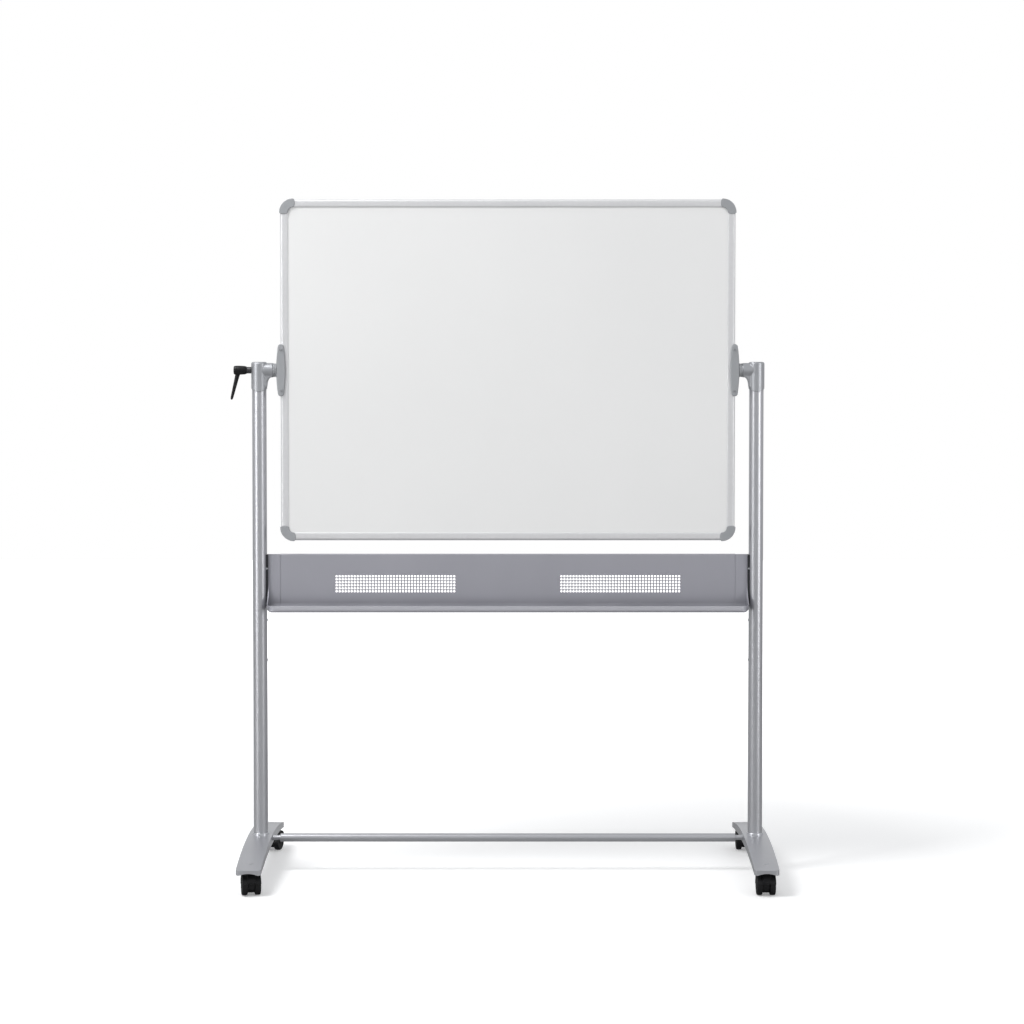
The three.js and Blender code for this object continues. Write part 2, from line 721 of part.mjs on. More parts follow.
// Hub with a tapering arm that hangs down and leans outwards. It can be pulled off its teeth.
function clampLever() {
  const hubProfile = [
    [0, HUB_INNER],
    [9.8, HUB_INNER],
    [11.2, HUB_INNER + 5],
    [12, HUB_INNER + 20],
    [11.4, HUB_OUTER - 2.5],
    [9.5, HUB_OUTER],
    [0, HUB_OUTER],
  ];
  const armProfile = [
    [0, 0],
    [6.4, 0],
    [5.6, -20],
    [3.9, -70],
    [3.2, -75],
    [0, -78],
  ];
  const lean = THREE.MathUtils.degToRad(14);
  const arm = turnedZ(armProfile, 12)
    .scale(1, 0.8, 1)
    .rotateY(-lean)
    .translate(HUB_INNER + 22, 0, -3);
  const lever = cut(
    join(turnedX(hubProfile, 20), arm),
    rodX(TEETH.radius + 0.4, HUB_INNER - 5, TEETH.end + 0.5, 16),
    rodX(CLAMP_SCREW.radius + 0.5, TEETH.end - 6, HUB_OUTER, 12),
    rodX(CLAMP_SCREW.headRadius + 0.6, CLAMP_SCREW.seat - 5, HUB_OUTER + 5, 12),
  );
  return lever.translate(0, 0, PIVOT_HEIGHT);
}

function leverScrew() {
  const { radius, start, seat, headRadius, end } = CLAMP_SCREW;
  const profile = [
    [0, start],
    [radius, start],
    [radius, seat],
    [headRadius, seat],
    [headRadius, end - 1],
    [headRadius - 1, end],
    [0, end],
  ];
  return turnedX(profile, 12).translate(0, 0, PIVOT_HEIGHT);
}

// ---- Posts, heads, feet and tray ends, for each side ----

function standSides() {
  for (const { side, sign } of SIDES) {
    const group = sideGroup(sign, whiteboard);
    piece(`post_${side}`, post(), silverPaint, group);
    piece(`head_bracket_${side}`, headBracket(side === "left"), castSilver, group);
    piece(`pivot_washer_${side}`, pivotWasher(), greyPlastic, group);
    piece(`foot_${side}`, foot(), silverPaint, group);
    piece(`foot_bolt_${side}`, footBolt(), zincSteel, group);
    piece(`tray_end_cap_${side}`, trayEndCap(), greyPlastic, group);
    piece(`tray_spacer_${side}`, traySpacer(), softBlack, group);
    if (side === "left") {
      piece("clamp_stud", clampStud(), blackSteel, group);
      piece("clamp_lever", clampLever(), blackPlastic, group);
      piece("lever_screw", leverScrew(), zincSteel, group);
    }
  }
  piece("cross_bar", crossBar(), silverPaint, whiteboard);
  piece("pen_tray", penTray(), trayPaint, whiteboard);
}

// ---- Casters ----

// Each caster's rest turn about its stem, in degrees; at 0 its wheels trail towards -Y.
const CASTERS = [
  { name: "front_left", x: -POST_X, y: -CASTER_Y, turn: 12, brake: true },
  { name: "front_right", x: POST_X, y: -CASTER_Y, turn: 0, brake: true },
  { name: "rear_left", x: -POST_X, y: CASTER_Y, turn: 165, brake: false },
  { name: "rear_right", x: POST_X, y: CASTER_Y, turn: 180, brake: false },
];

const AXLE = { y: -CASTER_TRAIL, z: WHEEL_RADIUS };

// Part of a ring about the axle, in y and z, between two angles in degrees.
function ringSector(inner, outer, from, to, steps) {
  return polygon([
    ...arcPoints(AXLE.y, AXLE.z, outer, from, to, steps),
    ...arcPoints(AXLE.y, AXLE.z, inner, to, from, steps),
  ]);
}

// Hood over both wheels, the web between them and the boss for the stem, moulded in one.
function casterBody() {
  const hub = 19;
  const webHalf = WHEEL_INNER - 0.9;
  const web = new THREE.Shape();
  web.absarc(AXLE.y, AXLE.z, hub, Math.PI, 2 * Math.PI);
  web.lineTo(5, CASTER_TOP - 10);
  web.lineTo(-20, CASTER_TOP - 1.5);
  web.lineTo(AXLE.y - hub, CASTER_TOP - 14);
  return cut(
    join(
      alongX(ringSector(HOOD_INNER, HOOD_OUTER, -5, 165, 12), -WHEEL_OUTER, WHEEL_OUTER),
      alongX(web, -webHalf, webHalf, { curveSegments: 6 }),
      rodZ(9, 26, CASTER_TOP, 16),
    ),
    rodZ(STEM_RADIUS + 0.4, CASTER_TOP - 20, CASTER_TOP + 5, 12),
    rodX(AXLE_RADIUS + 0.3, -12, 12, 12).translate(0, AXLE.y, AXLE.z),
  );
}

// The left-hand and right-hand wheels are alike and face opposite ways.
function casterWheel() {
  const bore = AXLE_RADIUS + 0.4;
  const boreEnd = WHEEL_OUTER - 3.4;
  const profile = [
    [bore, WHEEL_INNER],
    [WHEEL_RADIUS - 2, WHEEL_INNER],
    [WHEEL_RADIUS, WHEEL_INNER + 2],
    [WHEEL_RADIUS, WHEEL_OUTER - 3],
    [WHEEL_RADIUS - 3, WHEEL_OUTER],
    [0, WHEEL_OUTER],
    [0, boreEnd],
    [bore, boreEnd],
    [bore, WHEEL_INNER],
  ];
  return turnedX(profile, 20).translate(0, AXLE.y, AXLE.z);
}

const casterAxle = () => rodX(AXLE_RADIUS, -20, 20, 12).translate(0, AXLE.y, AXLE.z);

// Steel pin with a collar, screwed up into the foot's boss.
function casterStem() {
  const collar = { radius: 8, low: CASTER_TOP + 0.4, high: CASTER_TOP + 2.7 };
  const low = CASTER_TOP - 19.4;
  const high = CASTER_TOP + 19.5;
  const profile = [
    [0, low],
    [STEM_RADIUS, low],
    [STEM_RADIUS, collar.low],
    [collar.radius, collar.low],
    [collar.radius, collar.high],
    [STEM_RADIUS, collar.high],
    [STEM_RADIUS, high],
    [0, high],
  ];
  return turnedZ(profile, 12);
}

// Brake pedal that lies over the front of the hood and hinges at its upper end.
function brakePedal() {
  const plate = ringSector(HOOD_OUTER + 0.6, HOOD_OUTER + 3.2, 108, 158, 5);
  return alongX(plate, -10, 10);
}

function casters() {
  for (const { name, x, y, turn, brake } of CASTERS) {
    const group = new THREE.Group();
    group.position.set(x, y, 0);
    group.rotation.z = THREE.MathUtils.degToRad(turn);
    whiteboard.add(group);
    piece(`caster_stem_${name}`, casterStem(), zincSteel, group);
    piece(`caster_body_${name}`, casterBody(), blackPlastic, group);
    piece(`caster_axle_${name}`, casterAxle(), zincSteel, group);
    piece(`caster_wheel_a_${name}`, casterWheel(), blackPlastic, group);
    piece(`caster_wheel_b_${name}`, casterWheel(), blackPlastic, group).scale.x = -1;
    if (brake) piece(`brake_pedal_${name}`, brakePedal(), blackPlastic, group);
  }
}

panelSheets();
frameRails();
cornerCaps();
pivots();
standSides();
casters();

whiteboard.position.x = FOOTPRINT_SHIFT;

export default whiteboard;
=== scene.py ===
"""Rolling whiteboard: the finished pieces, their materials, a plain stage and its camera.

The file is laid out as an add-on and is run as a script. Pieces are built in millimetres, about the middle of
the stand or of the board, and install() puts them in their place in metres.
"""

import math

import bmesh
import bpy
from bpy.props import FloatProperty, FloatVectorProperty, IntProperty, PointerProperty
from mathutils import Matrix, Vector


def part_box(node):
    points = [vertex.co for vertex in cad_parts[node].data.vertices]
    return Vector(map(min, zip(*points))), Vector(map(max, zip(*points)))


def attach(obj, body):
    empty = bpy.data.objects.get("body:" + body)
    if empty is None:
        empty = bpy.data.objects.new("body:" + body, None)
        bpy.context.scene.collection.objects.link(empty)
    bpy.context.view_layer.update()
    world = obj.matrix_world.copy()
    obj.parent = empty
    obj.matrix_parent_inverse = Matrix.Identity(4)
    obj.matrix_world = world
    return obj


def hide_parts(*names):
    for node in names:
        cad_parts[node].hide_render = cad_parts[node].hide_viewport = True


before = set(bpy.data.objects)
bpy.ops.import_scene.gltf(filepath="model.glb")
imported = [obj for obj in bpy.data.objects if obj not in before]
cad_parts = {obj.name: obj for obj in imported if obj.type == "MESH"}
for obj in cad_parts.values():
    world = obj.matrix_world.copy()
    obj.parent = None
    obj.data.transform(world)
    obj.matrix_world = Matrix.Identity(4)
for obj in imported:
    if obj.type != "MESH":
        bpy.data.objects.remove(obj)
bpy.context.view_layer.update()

bl_info = {
    "name": "Rolling Whiteboard",
    "version": (1, 0, 0),
    "blender": (4, 5, 0),
    "location": "View3D > Sidebar > Whiteboard",
    "description": "Builds a revolving whiteboard on casters, piece by piece, round its CAD frame",
    "category": "Object",
}

MM = 0.001
SIDES = (("left", -1), ("right", 1))


def middle(node):
    """The centre of a CAD node's box."""
    low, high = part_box(node)
    return (low + high) / 2


def size(node):
    """The width, depth and height of a CAD node's box."""
    low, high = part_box(node)
    return high - low


# The board's centre lies on its pivot axis. The stand's centre is below it, on the floor.
BOARD_CENTRE = middle("board_core")
STAND_CENTRE = Vector((BOARD_CENTRE.x, 0, 0))
IN_MILLIMETRES = Matrix.Scale(MM, 4)
ON_BOARD = Matrix.Translation(BOARD_CENTRE) @ IN_MILLIMETRES
ON_STAND = Matrix.Translation(STAND_CENTRE) @ IN_MILLIMETRES
PIVOT_HEIGHT = BOARD_CENTRE.z / MM
POST_X = (middle("post_right").x - STAND_CENTRE.x) / MM
CASTER_NAMES = [n.removeprefix("caster_body_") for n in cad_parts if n.startswith("caster_body_")]


def mirrored(sign):
    """A mirror across the middle for the left side, and nothing for the right."""
    return Matrix.Scale(sign, 4, (1, 0, 0)) if sign < 0 else Matrix()


# ---- Outlines ----

def arc(x, y, radius, start, end, steps):
    """Points on a circle's arc from one angle to another, in degrees."""
    angles = [math.radians(start + (end - start) * i / steps) for i in range(steps + 1)]
    return [(x + radius * math.cos(a), y + radius * math.sin(a)) for a in angles]


def ellipse_arc(x, y, rx, ry, start, end, steps):
    """Points on an ellipse's arc."""
    return [(x + px * rx, y + py * ry) for px, py in arc(0, 0, 1, start, end, steps)]


def rounded_rectangle(half_width, half_length, radius, steps):
    """A rectangle about the origin, with rounded corners."""
    x, y = half_width - radius, half_length - radius
    corners = ((x, y, 0), (-x, y, 90), (-x, -y, 180), (x, -y, 270))
    return [point for cx, cy, start in corners for point in arc(cx, cy, radius, start, start + 90, steps)]


def bow(crown, tip, half, steps=40):
    """Points on the arc through a crown and both tips, which lie a half apart from it."""
    rise = crown - tip
    radius = (half ** 2 + rise ** 2) / (2 * rise)
    angle = math.degrees(math.asin(half / radius))
    return arc(0, crown - radius, radius, 90 - angle, 90 + angle, steps)


def bend(start, pull, end, steps):
    """Points on a curve that leaves its start towards a pull point, and reaches its end from there."""
    shares = [((1 - t) ** 2, 2 * t * (1 - t), t * t) for t in (i / steps for i in range(steps + 1))]
    return [tuple(u * a + v * b + w * c for a, b, c in zip(start, pull, end)) for u, v, w in shares]


# ---- Solids ----

ALONG = {
    "X": lambda a, b, c: (c, a, b),
    "Y": lambda a, b, c: (a, c, b),
    "Z": lambda a, b, c: (a, b, c),
}


def object_from(name, bm):
    """A new object that holds the bmesh, with its faces turned outwards."""
    bmesh.ops.remove_doubles(bm, verts=bm.verts, dist=1e-4)
    bmesh.ops.recalc_face_normals(bm, faces=bm.faces)
    mesh = bpy.data.meshes.new(name)
    bm.to_mesh(mesh)
    bm.free()
    obj = bpy.data.objects.new(name, mesh)
    bpy.context.scene.collection.objects.link(obj)
    return obj


def loft(name, rings, closed=False):
    """A solid through rings of points. It is capped at both ends, unless the last ring meets the first."""
    bm = bmesh.new()
    loops = [[bm.verts.new(point) for point in ring] for ring in rings]
    pairs = list(zip(loops, loops[1:])) + ([(loops[-1], loops[0])] if closed else [])
    for low, high in pairs:
        count = max(len(low), len(high))
        for i in range(count):
            j = (i + 1) % count
            corners = (low[i % len(low)], low[j % len(low)], high[j % len(high)], high[i % len(high)])
            corners = tuple(dict.fromkeys(corners))
            if len(corners) > 2:
                bm.faces.new(corners)
    if not closed:
        for loop in (loops[0], loops[-1]):
            if len(loop) > 2:
                bm.faces.new(loop)
    return object_from(name, bm)


def prism(name, outline, low, high, axis="Z"):
    """An outline pushed along an axis: x and y along Z, y and z along X, or x and z along Y."""
    place = ALONG[axis]
    return loft(name, [[place(a, b, c) for a, b in outline] for c in (low, high)])


def lathe(name, profile, axis="Z", segments=64):
    """A solid turned from (radius, height) points that start and end on the axis or close on themselves."""
    place = ALONG[axis]
    turns = [math.tau * i / segments for i in range(segments)]
    rings = [
        [place(0, 0, height)] if radius == 0
        else [place(radius * math.cos(t), radius * math.sin(t), height) for t in turns]
        for radius, height in profile
    ]
    return loft(name, rings, closed=profile[0][0] > 0)


def rod(name, radius, low, high, axis="Z", segments=48):
    """A plain round bar, mostly for cutting holes."""
    return lathe(name, [(0, low), (radius, low), (radius, high), (0, high)], axis, segments)


def block(name, low, high):
    """A box between two corners."""
    outline = [(low[0], low[1]), (high[0], low[1]), (high[0], high[1]), (low[0], high[1])]
    return prism(name, outline, low[2], high[2])


def move(obj, matrix):
    """Move an object's mesh, and leave the object where it is."""
    obj.data.transform(matrix)
    if matrix.is_negative:
        obj.data.flip_normals()
    return obj


def settle(obj):
    """Make the object's modifiers part of its mesh."""
    graph = bpy.context.evaluated_depsgraph_get()
    mesh = bpy.data.meshes.new_from_object(obj.evaluated_get(graph), depsgraph=graph)
    obj.modifiers.clear()
    old, obj.data = obj.data, mesh
    bpy.data.meshes.remove(old)
    return obj


def combine(obj, operation, others):
    """Join, cut or intersect an object with others, which are used up."""
    for other in others:
        modifier = obj.modifiers.new(operation.title(), "BOOLEAN")
        modifier.operation = operation
        modifier.solver = "EXACT"
        modifier.object = other
        settle(obj)
        bpy.data.objects.remove(other)
    return obj


def carve(obj, *cutters):
    """Cut other objects out of an object."""
    return combine(obj, "DIFFERENCE", cutters)


def fuse(obj, *others):
    """Join other objects to an object."""
    return combine(obj, "UNION", others)


def trim(obj, *others):
    """Keep only what an object shares with others."""
    return combine(obj, "INTERSECT", others)


def soften(obj, width, segments, angle=50):
    """Round the edges that are sharper than an angle."""
    modifier = obj.modifiers.new("Rounded edges", "BEVEL")
    modifier.width = width
    modifier.segments = segments
    modifier.limit_method = "ANGLE"
    modifier.angle_limit = math.radians(angle)
    return settle(obj)


def cast(obj, voxel, passes, keep):
    """Give joined solids the soft inner corners of a casting or a moulding."""
    modifier = obj.modifiers.new("Remesh", "REMESH")
    modifier.mode = "VOXEL"
    modifier.voxel_size = voxel
    smoothing = obj.modifiers.new("Fillets", "SMOOTH")
    smoothing.factor = 0.5
    smoothing.iterations = passes
    thinning = obj.modifiers.new("Thin out", "DECIMATE")
    thinning.ratio = keep
    return settle(obj)


def duplicate(obj, name):
    """Another object with its own copy of the mesh."""
    copy = bpy.data.objects.new(name, obj.data.copy())
    bpy.context.scene.collection.objects.link(copy)
    return copy


def install(obj, body, material, nodes=(), place=Matrix(), crease=38):
    """Put a piece in its place, give it its finish, and let it ride on its body."""
    move(obj, place)
    obj.data.name = obj.name
    obj.data.materials.append(material)
    obj.data.shade_smooth()
    obj.data.set_sharp_from_angle(angle=math.radians(crease))
    normals = obj.modifiers.new("Even shading", "WEIGHTED_NORMAL")
    normals.keep_sharp = True
    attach(obj, body)
    if nodes:
        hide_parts(*nodes)
    return obj


def install_pair(template, name, body, material, node="", base=ON_STAND, crease=38):
    """Install a right-hand piece and its mirror image, in place of the CAD nodes of both sides."""
    for side, sign in SIDES:
        install(duplicate(template, f"{name}_{side}"), body, material, [f"{node}_{side}"] if node else (),
                base @ mirrored(sign), crease)
    bpy.data.objects.remove(template)


def refinish(material, *nodes):
    """Give CAD nodes that stay as they are a better material."""
    for node in nodes:
        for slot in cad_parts[node].material_slots:
            slot.material = material


# ---- Shader effects ----

def node(tree, kind, inputs=None, **settings):
    """Add a shader node, set it, and link or set its inputs."""
    made = tree.nodes.new(kind)
    for key, value in settings.items():
        setattr(made, key, value)
    for key, value in (inputs or {}).items():
        if isinstance(value, bpy.types.NodeSocket):
            tree.links.new(value, made.inputs[key])
        else:
            made.inputs[key].default_value = value
    return made


def maths(tree, operation, first, second, clamp=False):
    return node(tree, "ShaderNodeMath", {0: first, 1: second}, operation=operation,
                use_clamp=clamp).outputs[0]


def product(tree, first, *others, clamp=False):
    """Masks and numbers multiplied together, in their order. Only the last product is clamped."""
    for left, other in zip(reversed(range(len(others))), others):
        first = maths(tree, "MULTIPLY", first, other, clamp and left == 0)
    return first


def stretch(tree, vector, factors):
    """A vector with each axis scaled by its own factor."""
    return node(tree, "ShaderNodeVectorMath", {0: vector, 1: factors}, operation="MULTIPLY").outputs[0]


def remap(tree, value, low, high, to_low=0.0, to_high=1.0):
    """Stretch part of a value's range to another range."""
    inputs = {"Value": value, "From Min": low, "From Max": high, "To Min": to_low, "To Max": to_high}
    return node(tree, "ShaderNodeMapRange", inputs).outputs["Result"]


def noise(tree, vector, scale, detail, roughness=0.5):
    inputs = {"Vector": vector, "Scale": scale, "Detail": detail, "Roughness": roughness}
    return node(tree, "ShaderNodeTexNoise", inputs).outputs["Fac"]


def object_place(tree):
    """Where a point lies on its own object."""
    return tree.nodes.new("ShaderNodeTexCoord").outputs["Object"]


def effect(name, inputs, outputs, build):
    """A shader node group with named sockets, made once."""
    if name in bpy.data.node_groups:
        return bpy.data.node_groups[name]
    tree = bpy.data.node_groups.new(name, "ShaderNodeTree")
    for label, kind, default in inputs:
        socket = tree.interface.new_socket(label, in_out="INPUT", socket_type=kind)
        socket.default_value = default
    for label, kind in outputs:
        tree.interface.new_socket(label, in_out="OUTPUT", socket_type=kind)
    entry = tree.nodes.new("NodeGroupInput").outputs
    exit_ = tree.nodes.new("NodeGroupOutput").inputs
    place = tree.nodes.new("ShaderNodeTexCoord").outputs
    for label, value in build(tree, entry, place).items():
        tree.links.new(value, exit_[label])
    return tree


FLOAT, COLOUR, VECTOR = "NodeSocketFloat", "NodeSocketColor", "NodeSocketVector"


def fine_grain():
    """Moulded or powder-coated skin: an even pebbled height."""

    def build(tree, entry, place):
        coarse = noise(tree, place["Object"], entry["Scale"], 2.0)
        fine = noise(tree, place["Object"], product(tree, entry["Scale"], 3.7), 1.0)
        return {"Height": maths(tree, "ADD", product(tree, coarse, 0.65), product(tree, fine, 0.35))}

    return effect("Fine Grain", [("Scale", FLOAT, 1500.0)], [("Height", FLOAT)], build)


def drawn_lines():
    """Fine lines that drawing or extruding leaves along a metal section."""

    def build(tree, entry, place):
        lines = noise(tree, stretch(tree, place["Object"], entry["Stretch"]), entry["Scale"], 4.0, 0.6)
        return {"Height": lines, "Tone": remap(tree, lines, 0.3, 0.7)}

    sockets = [("Stretch", VECTOR, (1.0, 1.0, 1.0)), ("Scale", FLOAT, 900.0)]
    return effect("Drawn Lines", sockets, [("Height", FLOAT), ("Tone", FLOAT)], build)


def tone_drift():
    """A colour that drifts a little lighter and darker over a surface."""

    def build(tree, entry, place):
        wide = noise(tree, place["Object"], entry["Scale"], 3.0)
        factor = remap(tree, wide, 0.3, 0.7, -1.0, 1.0)
        gain = maths(tree, "ADD", product(tree, factor, entry["Amount"]), 1.0)
        tinted = node(tree, "ShaderNodeVectorMath", {0: entry["Colour"], "Scale": gain}, operation="SCALE")
        return {"Colour": tinted.outputs[0]}

    sockets = [("Colour", COLOUR, (0.5, 0.5, 0.5, 1)), ("Scale", FLOAT, 6.0), ("Amount", FLOAT, 0.03)]
    return effect("Tone Drift", sockets, [("Colour", COLOUR)], build)


def edge_wear():
    """A mask of the convex edges, broken up as knocks and rubbing leave them."""

    def build(tree, entry, place):
        geometry = tree.nodes.new("ShaderNodeNewGeometry").outputs
        edges = remap(tree, geometry["Pointiness"], 0.52, 0.58)
        patches = remap(tree, noise(tree, place["Object"], entry["Scale"], 4.0), 0.42, 0.62)
        return {"Mask": product(tree, edges, patches, entry["Amount"], clamp=True)}

    return effect("Edge Wear", [("Scale", FLOAT, 90.0), ("Amount", FLOAT, 0.5)], [("Mask", FLOAT)], build)


def settled_dust():
    """A mask of thin dust on what faces up when the whiteboard stands."""

    def build(tree, entry, place):
        up = node(tree, "ShaderNodeSeparateXYZ", {0: place["Normal"]}).outputs["Z"]
        level = remap(tree, up, 0.55, 1.0)
        cloud = remap(tree, noise(tree, place["Object"], entry["Scale"], 5.0, 0.6), 0.35, 0.75)
        return {"Mask": product(tree, level, cloud, entry["Amount"], clamp=True)}

    return effect("Settled Dust", [("Scale", FLOAT, 60.0), ("Amount", FLOAT, 0.2)], [("Mask", FLOAT)], build)


def handling_marks():
    """Roughness that varies as a wiped and handled surface does."""

    def build(tree, entry, place):
        swirl = noise(tree, place["Object"], entry["Scale"], 2.0)
        swept = stretch(tree, place["Object"], (1.0, 1.0, 5.0))
        wipes = noise(tree, swept, product(tree, entry["Scale"], 2.6), 5.0, 0.62)
        both = maths(tree, "ADD", product(tree, swirl, 0.5), product(tree, wipes, 0.5))
        swing = product(tree, remap(tree, both, 0.35, 0.65, -1.0, 1.0), entry["Swing"])
        return {"Roughness": maths(tree, "ADD", entry["Roughness"], swing, clamp=True)}

    sockets = [("Roughness", FLOAT, 0.4), ("Scale", FLOAT, 7.0), ("Swing", FLOAT, 0.05)]
    return effect("Handling Marks", sockets, [("Roughness", FLOAT)], build)


# ---- Materials ----

WHITE = (1.0, 1.0, 1.0, 1.0)
DUST = (0.62, 0.61, 0.59, 1.0)
BRIGHT_FLAKE = (0.92, 0.92, 0.95, 1.0)
BRIGHT_LINE = (0.95, 0.95, 0.96, 1.0)
BARE_METAL = (0.93, 0.93, 0.94, 1.0)
KRAFT_PAPER, CELL_SHADE = (0.42, 0.3, 0.16, 1.0), (0.2, 0.14, 0.07, 1.0)
# Painted shade for the tray's fold, and a painted highlight for its lip.
PAINTED_FOLD_SHADE, PAINTED_LIP_HIGHLIGHT = (0.04, 0.04, 0.05, 1.0), (0.62, 0.62, 0.66, 1.0)


def group(tree, made, inputs):
    """A node group placed in a material, with its own values."""
    return node(tree, "ShaderNodeGroup", inputs, node_tree=made).outputs


def drifting(tree, colour, scale, amount):
    """A colour whose tone drifts."""
    return group(tree, tone_drift(), {"Colour": colour, "Scale": scale, "Amount": amount})["Colour"]


def handled(tree, roughness, scale, swing):
    """A roughness with handling marks in it."""
    inputs = {"Roughness": roughness, "Scale": scale, "Swing": swing}
    return group(tree, handling_marks(), inputs)["Roughness"]


def patchy(tree, made, scale, amount):
    """The mask of edge wear or of settled dust."""
    return group(tree, made, {"Scale": scale, "Amount": amount})["Mask"]


def rgba(colour):
    return (*colour, 1.0)


def material(name, surface):
    """A material whose Principled shader is filled in by surface(tree, shader)."""
    if name in bpy.data.materials:
        return bpy.data.materials[name]
    made = bpy.data.materials.new(name)
    made.use_nodes = True
    tree = made.node_tree
    tree.nodes.clear()
    shader = tree.nodes.new("ShaderNodeBsdfPrincipled")
    out = tree.nodes.new("ShaderNodeOutputMaterial")
    tree.links.new(shader.outputs[0], out.inputs[0])
    surface(tree, shader)
    return made


def plug(tree, shader, **sockets):
    """Link or set sockets of the shader, with underscores for the spaces in their names."""
    for key, value in sockets.items():
        socket = shader.inputs[key.replace("_", " ")]
        if isinstance(value, bpy.types.NodeSocket):
            tree.links.new(value, socket)
        else:
            socket.default_value = value


def bump(tree, height, distance):
    """A normal from a height, where distance is the height's real size."""
    return node(tree, "ShaderNodeBump", {"Height": height, "Distance": distance, "Strength": 1.0}).outputs[0]


def mix(tree, factor, first, second):
    """One colour over another by a mask."""
    made = tree.nodes.new("ShaderNodeMix")
    made.data_type = "RGBA"
    sockets = {s.identifier: s for s in made.inputs}
    for key, value in (("Factor_Float", factor), ("A_Color", first), ("B_Color", second)):
        if isinstance(value, bpy.types.NodeSocket):
            tree.links.new(value, sockets[key])
        else:
            sockets[key].default_value = value
    return next(s for s in made.outputs if s.identifier == "Result_Color")


def finishes():
    return bpy.context.scene.whiteboard_finishes


def coated(name, colour, roughness, grain, depth, metallic=0.0, drift=0.03, dust=0.12, wear=0.0,
           worn=(0.75, 0.76, 0.78), specular=0.5, painted_light=None):
    """Paint, powder coat or plastic: drifting tone, fine skin, handling marks, thin dust and worn edges."""

    def surface(tree, shader):
        skin = group(tree, fine_grain(), {"Scale": grain})
        tone = drifting(tree, rgba(colour), scale=5.0, amount=drift)
        if wear:
            tone = mix(tree, patchy(tree, edge_wear(), scale=110.0, amount=wear), tone, rgba(worn))
        if dust:
            tone = mix(tree, patchy(tree, settled_dust(), scale=55.0, amount=dust), tone, DUST)
        # Painted light, when given: for the tray, painted shade in its fold and a painted highlight on its
        # lip.
        if painted_light:
            tone = painted_light(tree, tone)
        plug(tree, shader, Base_Color=tone, Metallic=metallic,
             Roughness=handled(tree, roughness, scale=8.0, swing=0.05),
             Normal=bump(tree, skin["Height"], depth), Coat_Roughness=0.12, Specular_IOR_Level=specular)

    return material(name, surface)


def writing_enamel():
    """Vitreous enamel on steel: glossy, very faintly uneven, with the ghost of old wiping."""

    def surface(tree, shader):
        place = object_place(tree)
        peel = noise(tree, place, scale=420.0, detail=2.0)
        waves = noise(tree, place, scale=9.0, detail=1.0)
        height = maths(tree, "ADD", product(tree, peel, 0.04), waves)
        plug(tree, shader, Base_Color=drifting(tree, rgba(finishes().enamel), scale=2.2, amount=0.012),
             Roughness=handled(tree, 0.2, scale=3.0, swing=0.035), Normal=bump(tree, height, 0.1 * MM),
             Coat_Weight=0.25, Coat_Roughness=0.08)

    return material("writing_enamel", surface)


def drawn_metal(name, colour, roughness, stretched, depth=0.0008 * MM, metallic=1.0):
    """Anodised or plated metal with fine lines along its length."""

    def surface(tree, shader):
        lines = group(tree, drawn_lines(), {"Stretch": stretched, "Scale": 1100.0})
        tone = drifting(tree, rgba(colour), scale=4.0, amount=0.02)
        streaked = mix(tree, product(tree, lines["Tone"], 0.03), tone, BRIGHT_LINE)
        rubbed = mix(tree, patchy(tree, edge_wear(), scale=90.0, amount=0.08), streaked, BARE_METAL)
        plug(tree, shader, Base_Color=rubbed, Metallic=metallic,
             Roughness=handled(tree, roughness, scale=9.0, swing=0.02),
             Normal=bump(tree, lines["Height"], depth))

    return material(name, surface)


def silver_paint():
    """Silver metallic paint: bright flakes under a clear skin."""

    def surface(tree, shader):
        cells = node(tree, "ShaderNodeTexVoronoi", {"Vector": object_place(tree), "Scale": 1400.0})
        flake = node(tree, "ShaderNodeSeparateColor", {0: cells.outputs["Color"]}).outputs[0]
        tone = drifting(tree, rgba(finishes().silver), scale=3.0, amount=0.02)
        bright = mix(tree, product(tree, flake, 0.06), tone, BRIGHT_FLAKE)
        dusty = mix(tree, patchy(tree, settled_dust(), scale=40.0, amount=0.08), bright, DUST)
        skin = group(tree, fine_grain(), {"Scale": 900.0})
        plug(tree, shader, Base_Color=dusty, Metallic=0.9,
             Roughness=handled(tree, 0.36, scale=6.0, swing=0.02),
             Normal=bump(tree, skin["Height"], 0.0015 * MM), Coat_Weight=0.3, Coat_Roughness=0.1)

    return material("silver_metallic_paint", surface)


def honeycomb_board():
    """Kraft paper with the cell pattern of a honeycomb core."""

    def surface(tree, shader):
        cells = node(tree, "ShaderNodeTexVoronoi", {"Vector": object_place(tree), "Scale": 90.0},
                     feature="DISTANCE_TO_EDGE")
        wall = remap(tree, cells.outputs["Distance"], 0.02, 0.07)
        tone = drifting(tree, KRAFT_PAPER, scale=12.0, amount=0.08)
        plug(tree, shader, Base_Color=mix(tree, wall, tone, CELL_SHADE), Roughness=0.9,
             Normal=bump(tree, wall, 0.4 * MM))

    return material("honeycomb_board", surface)


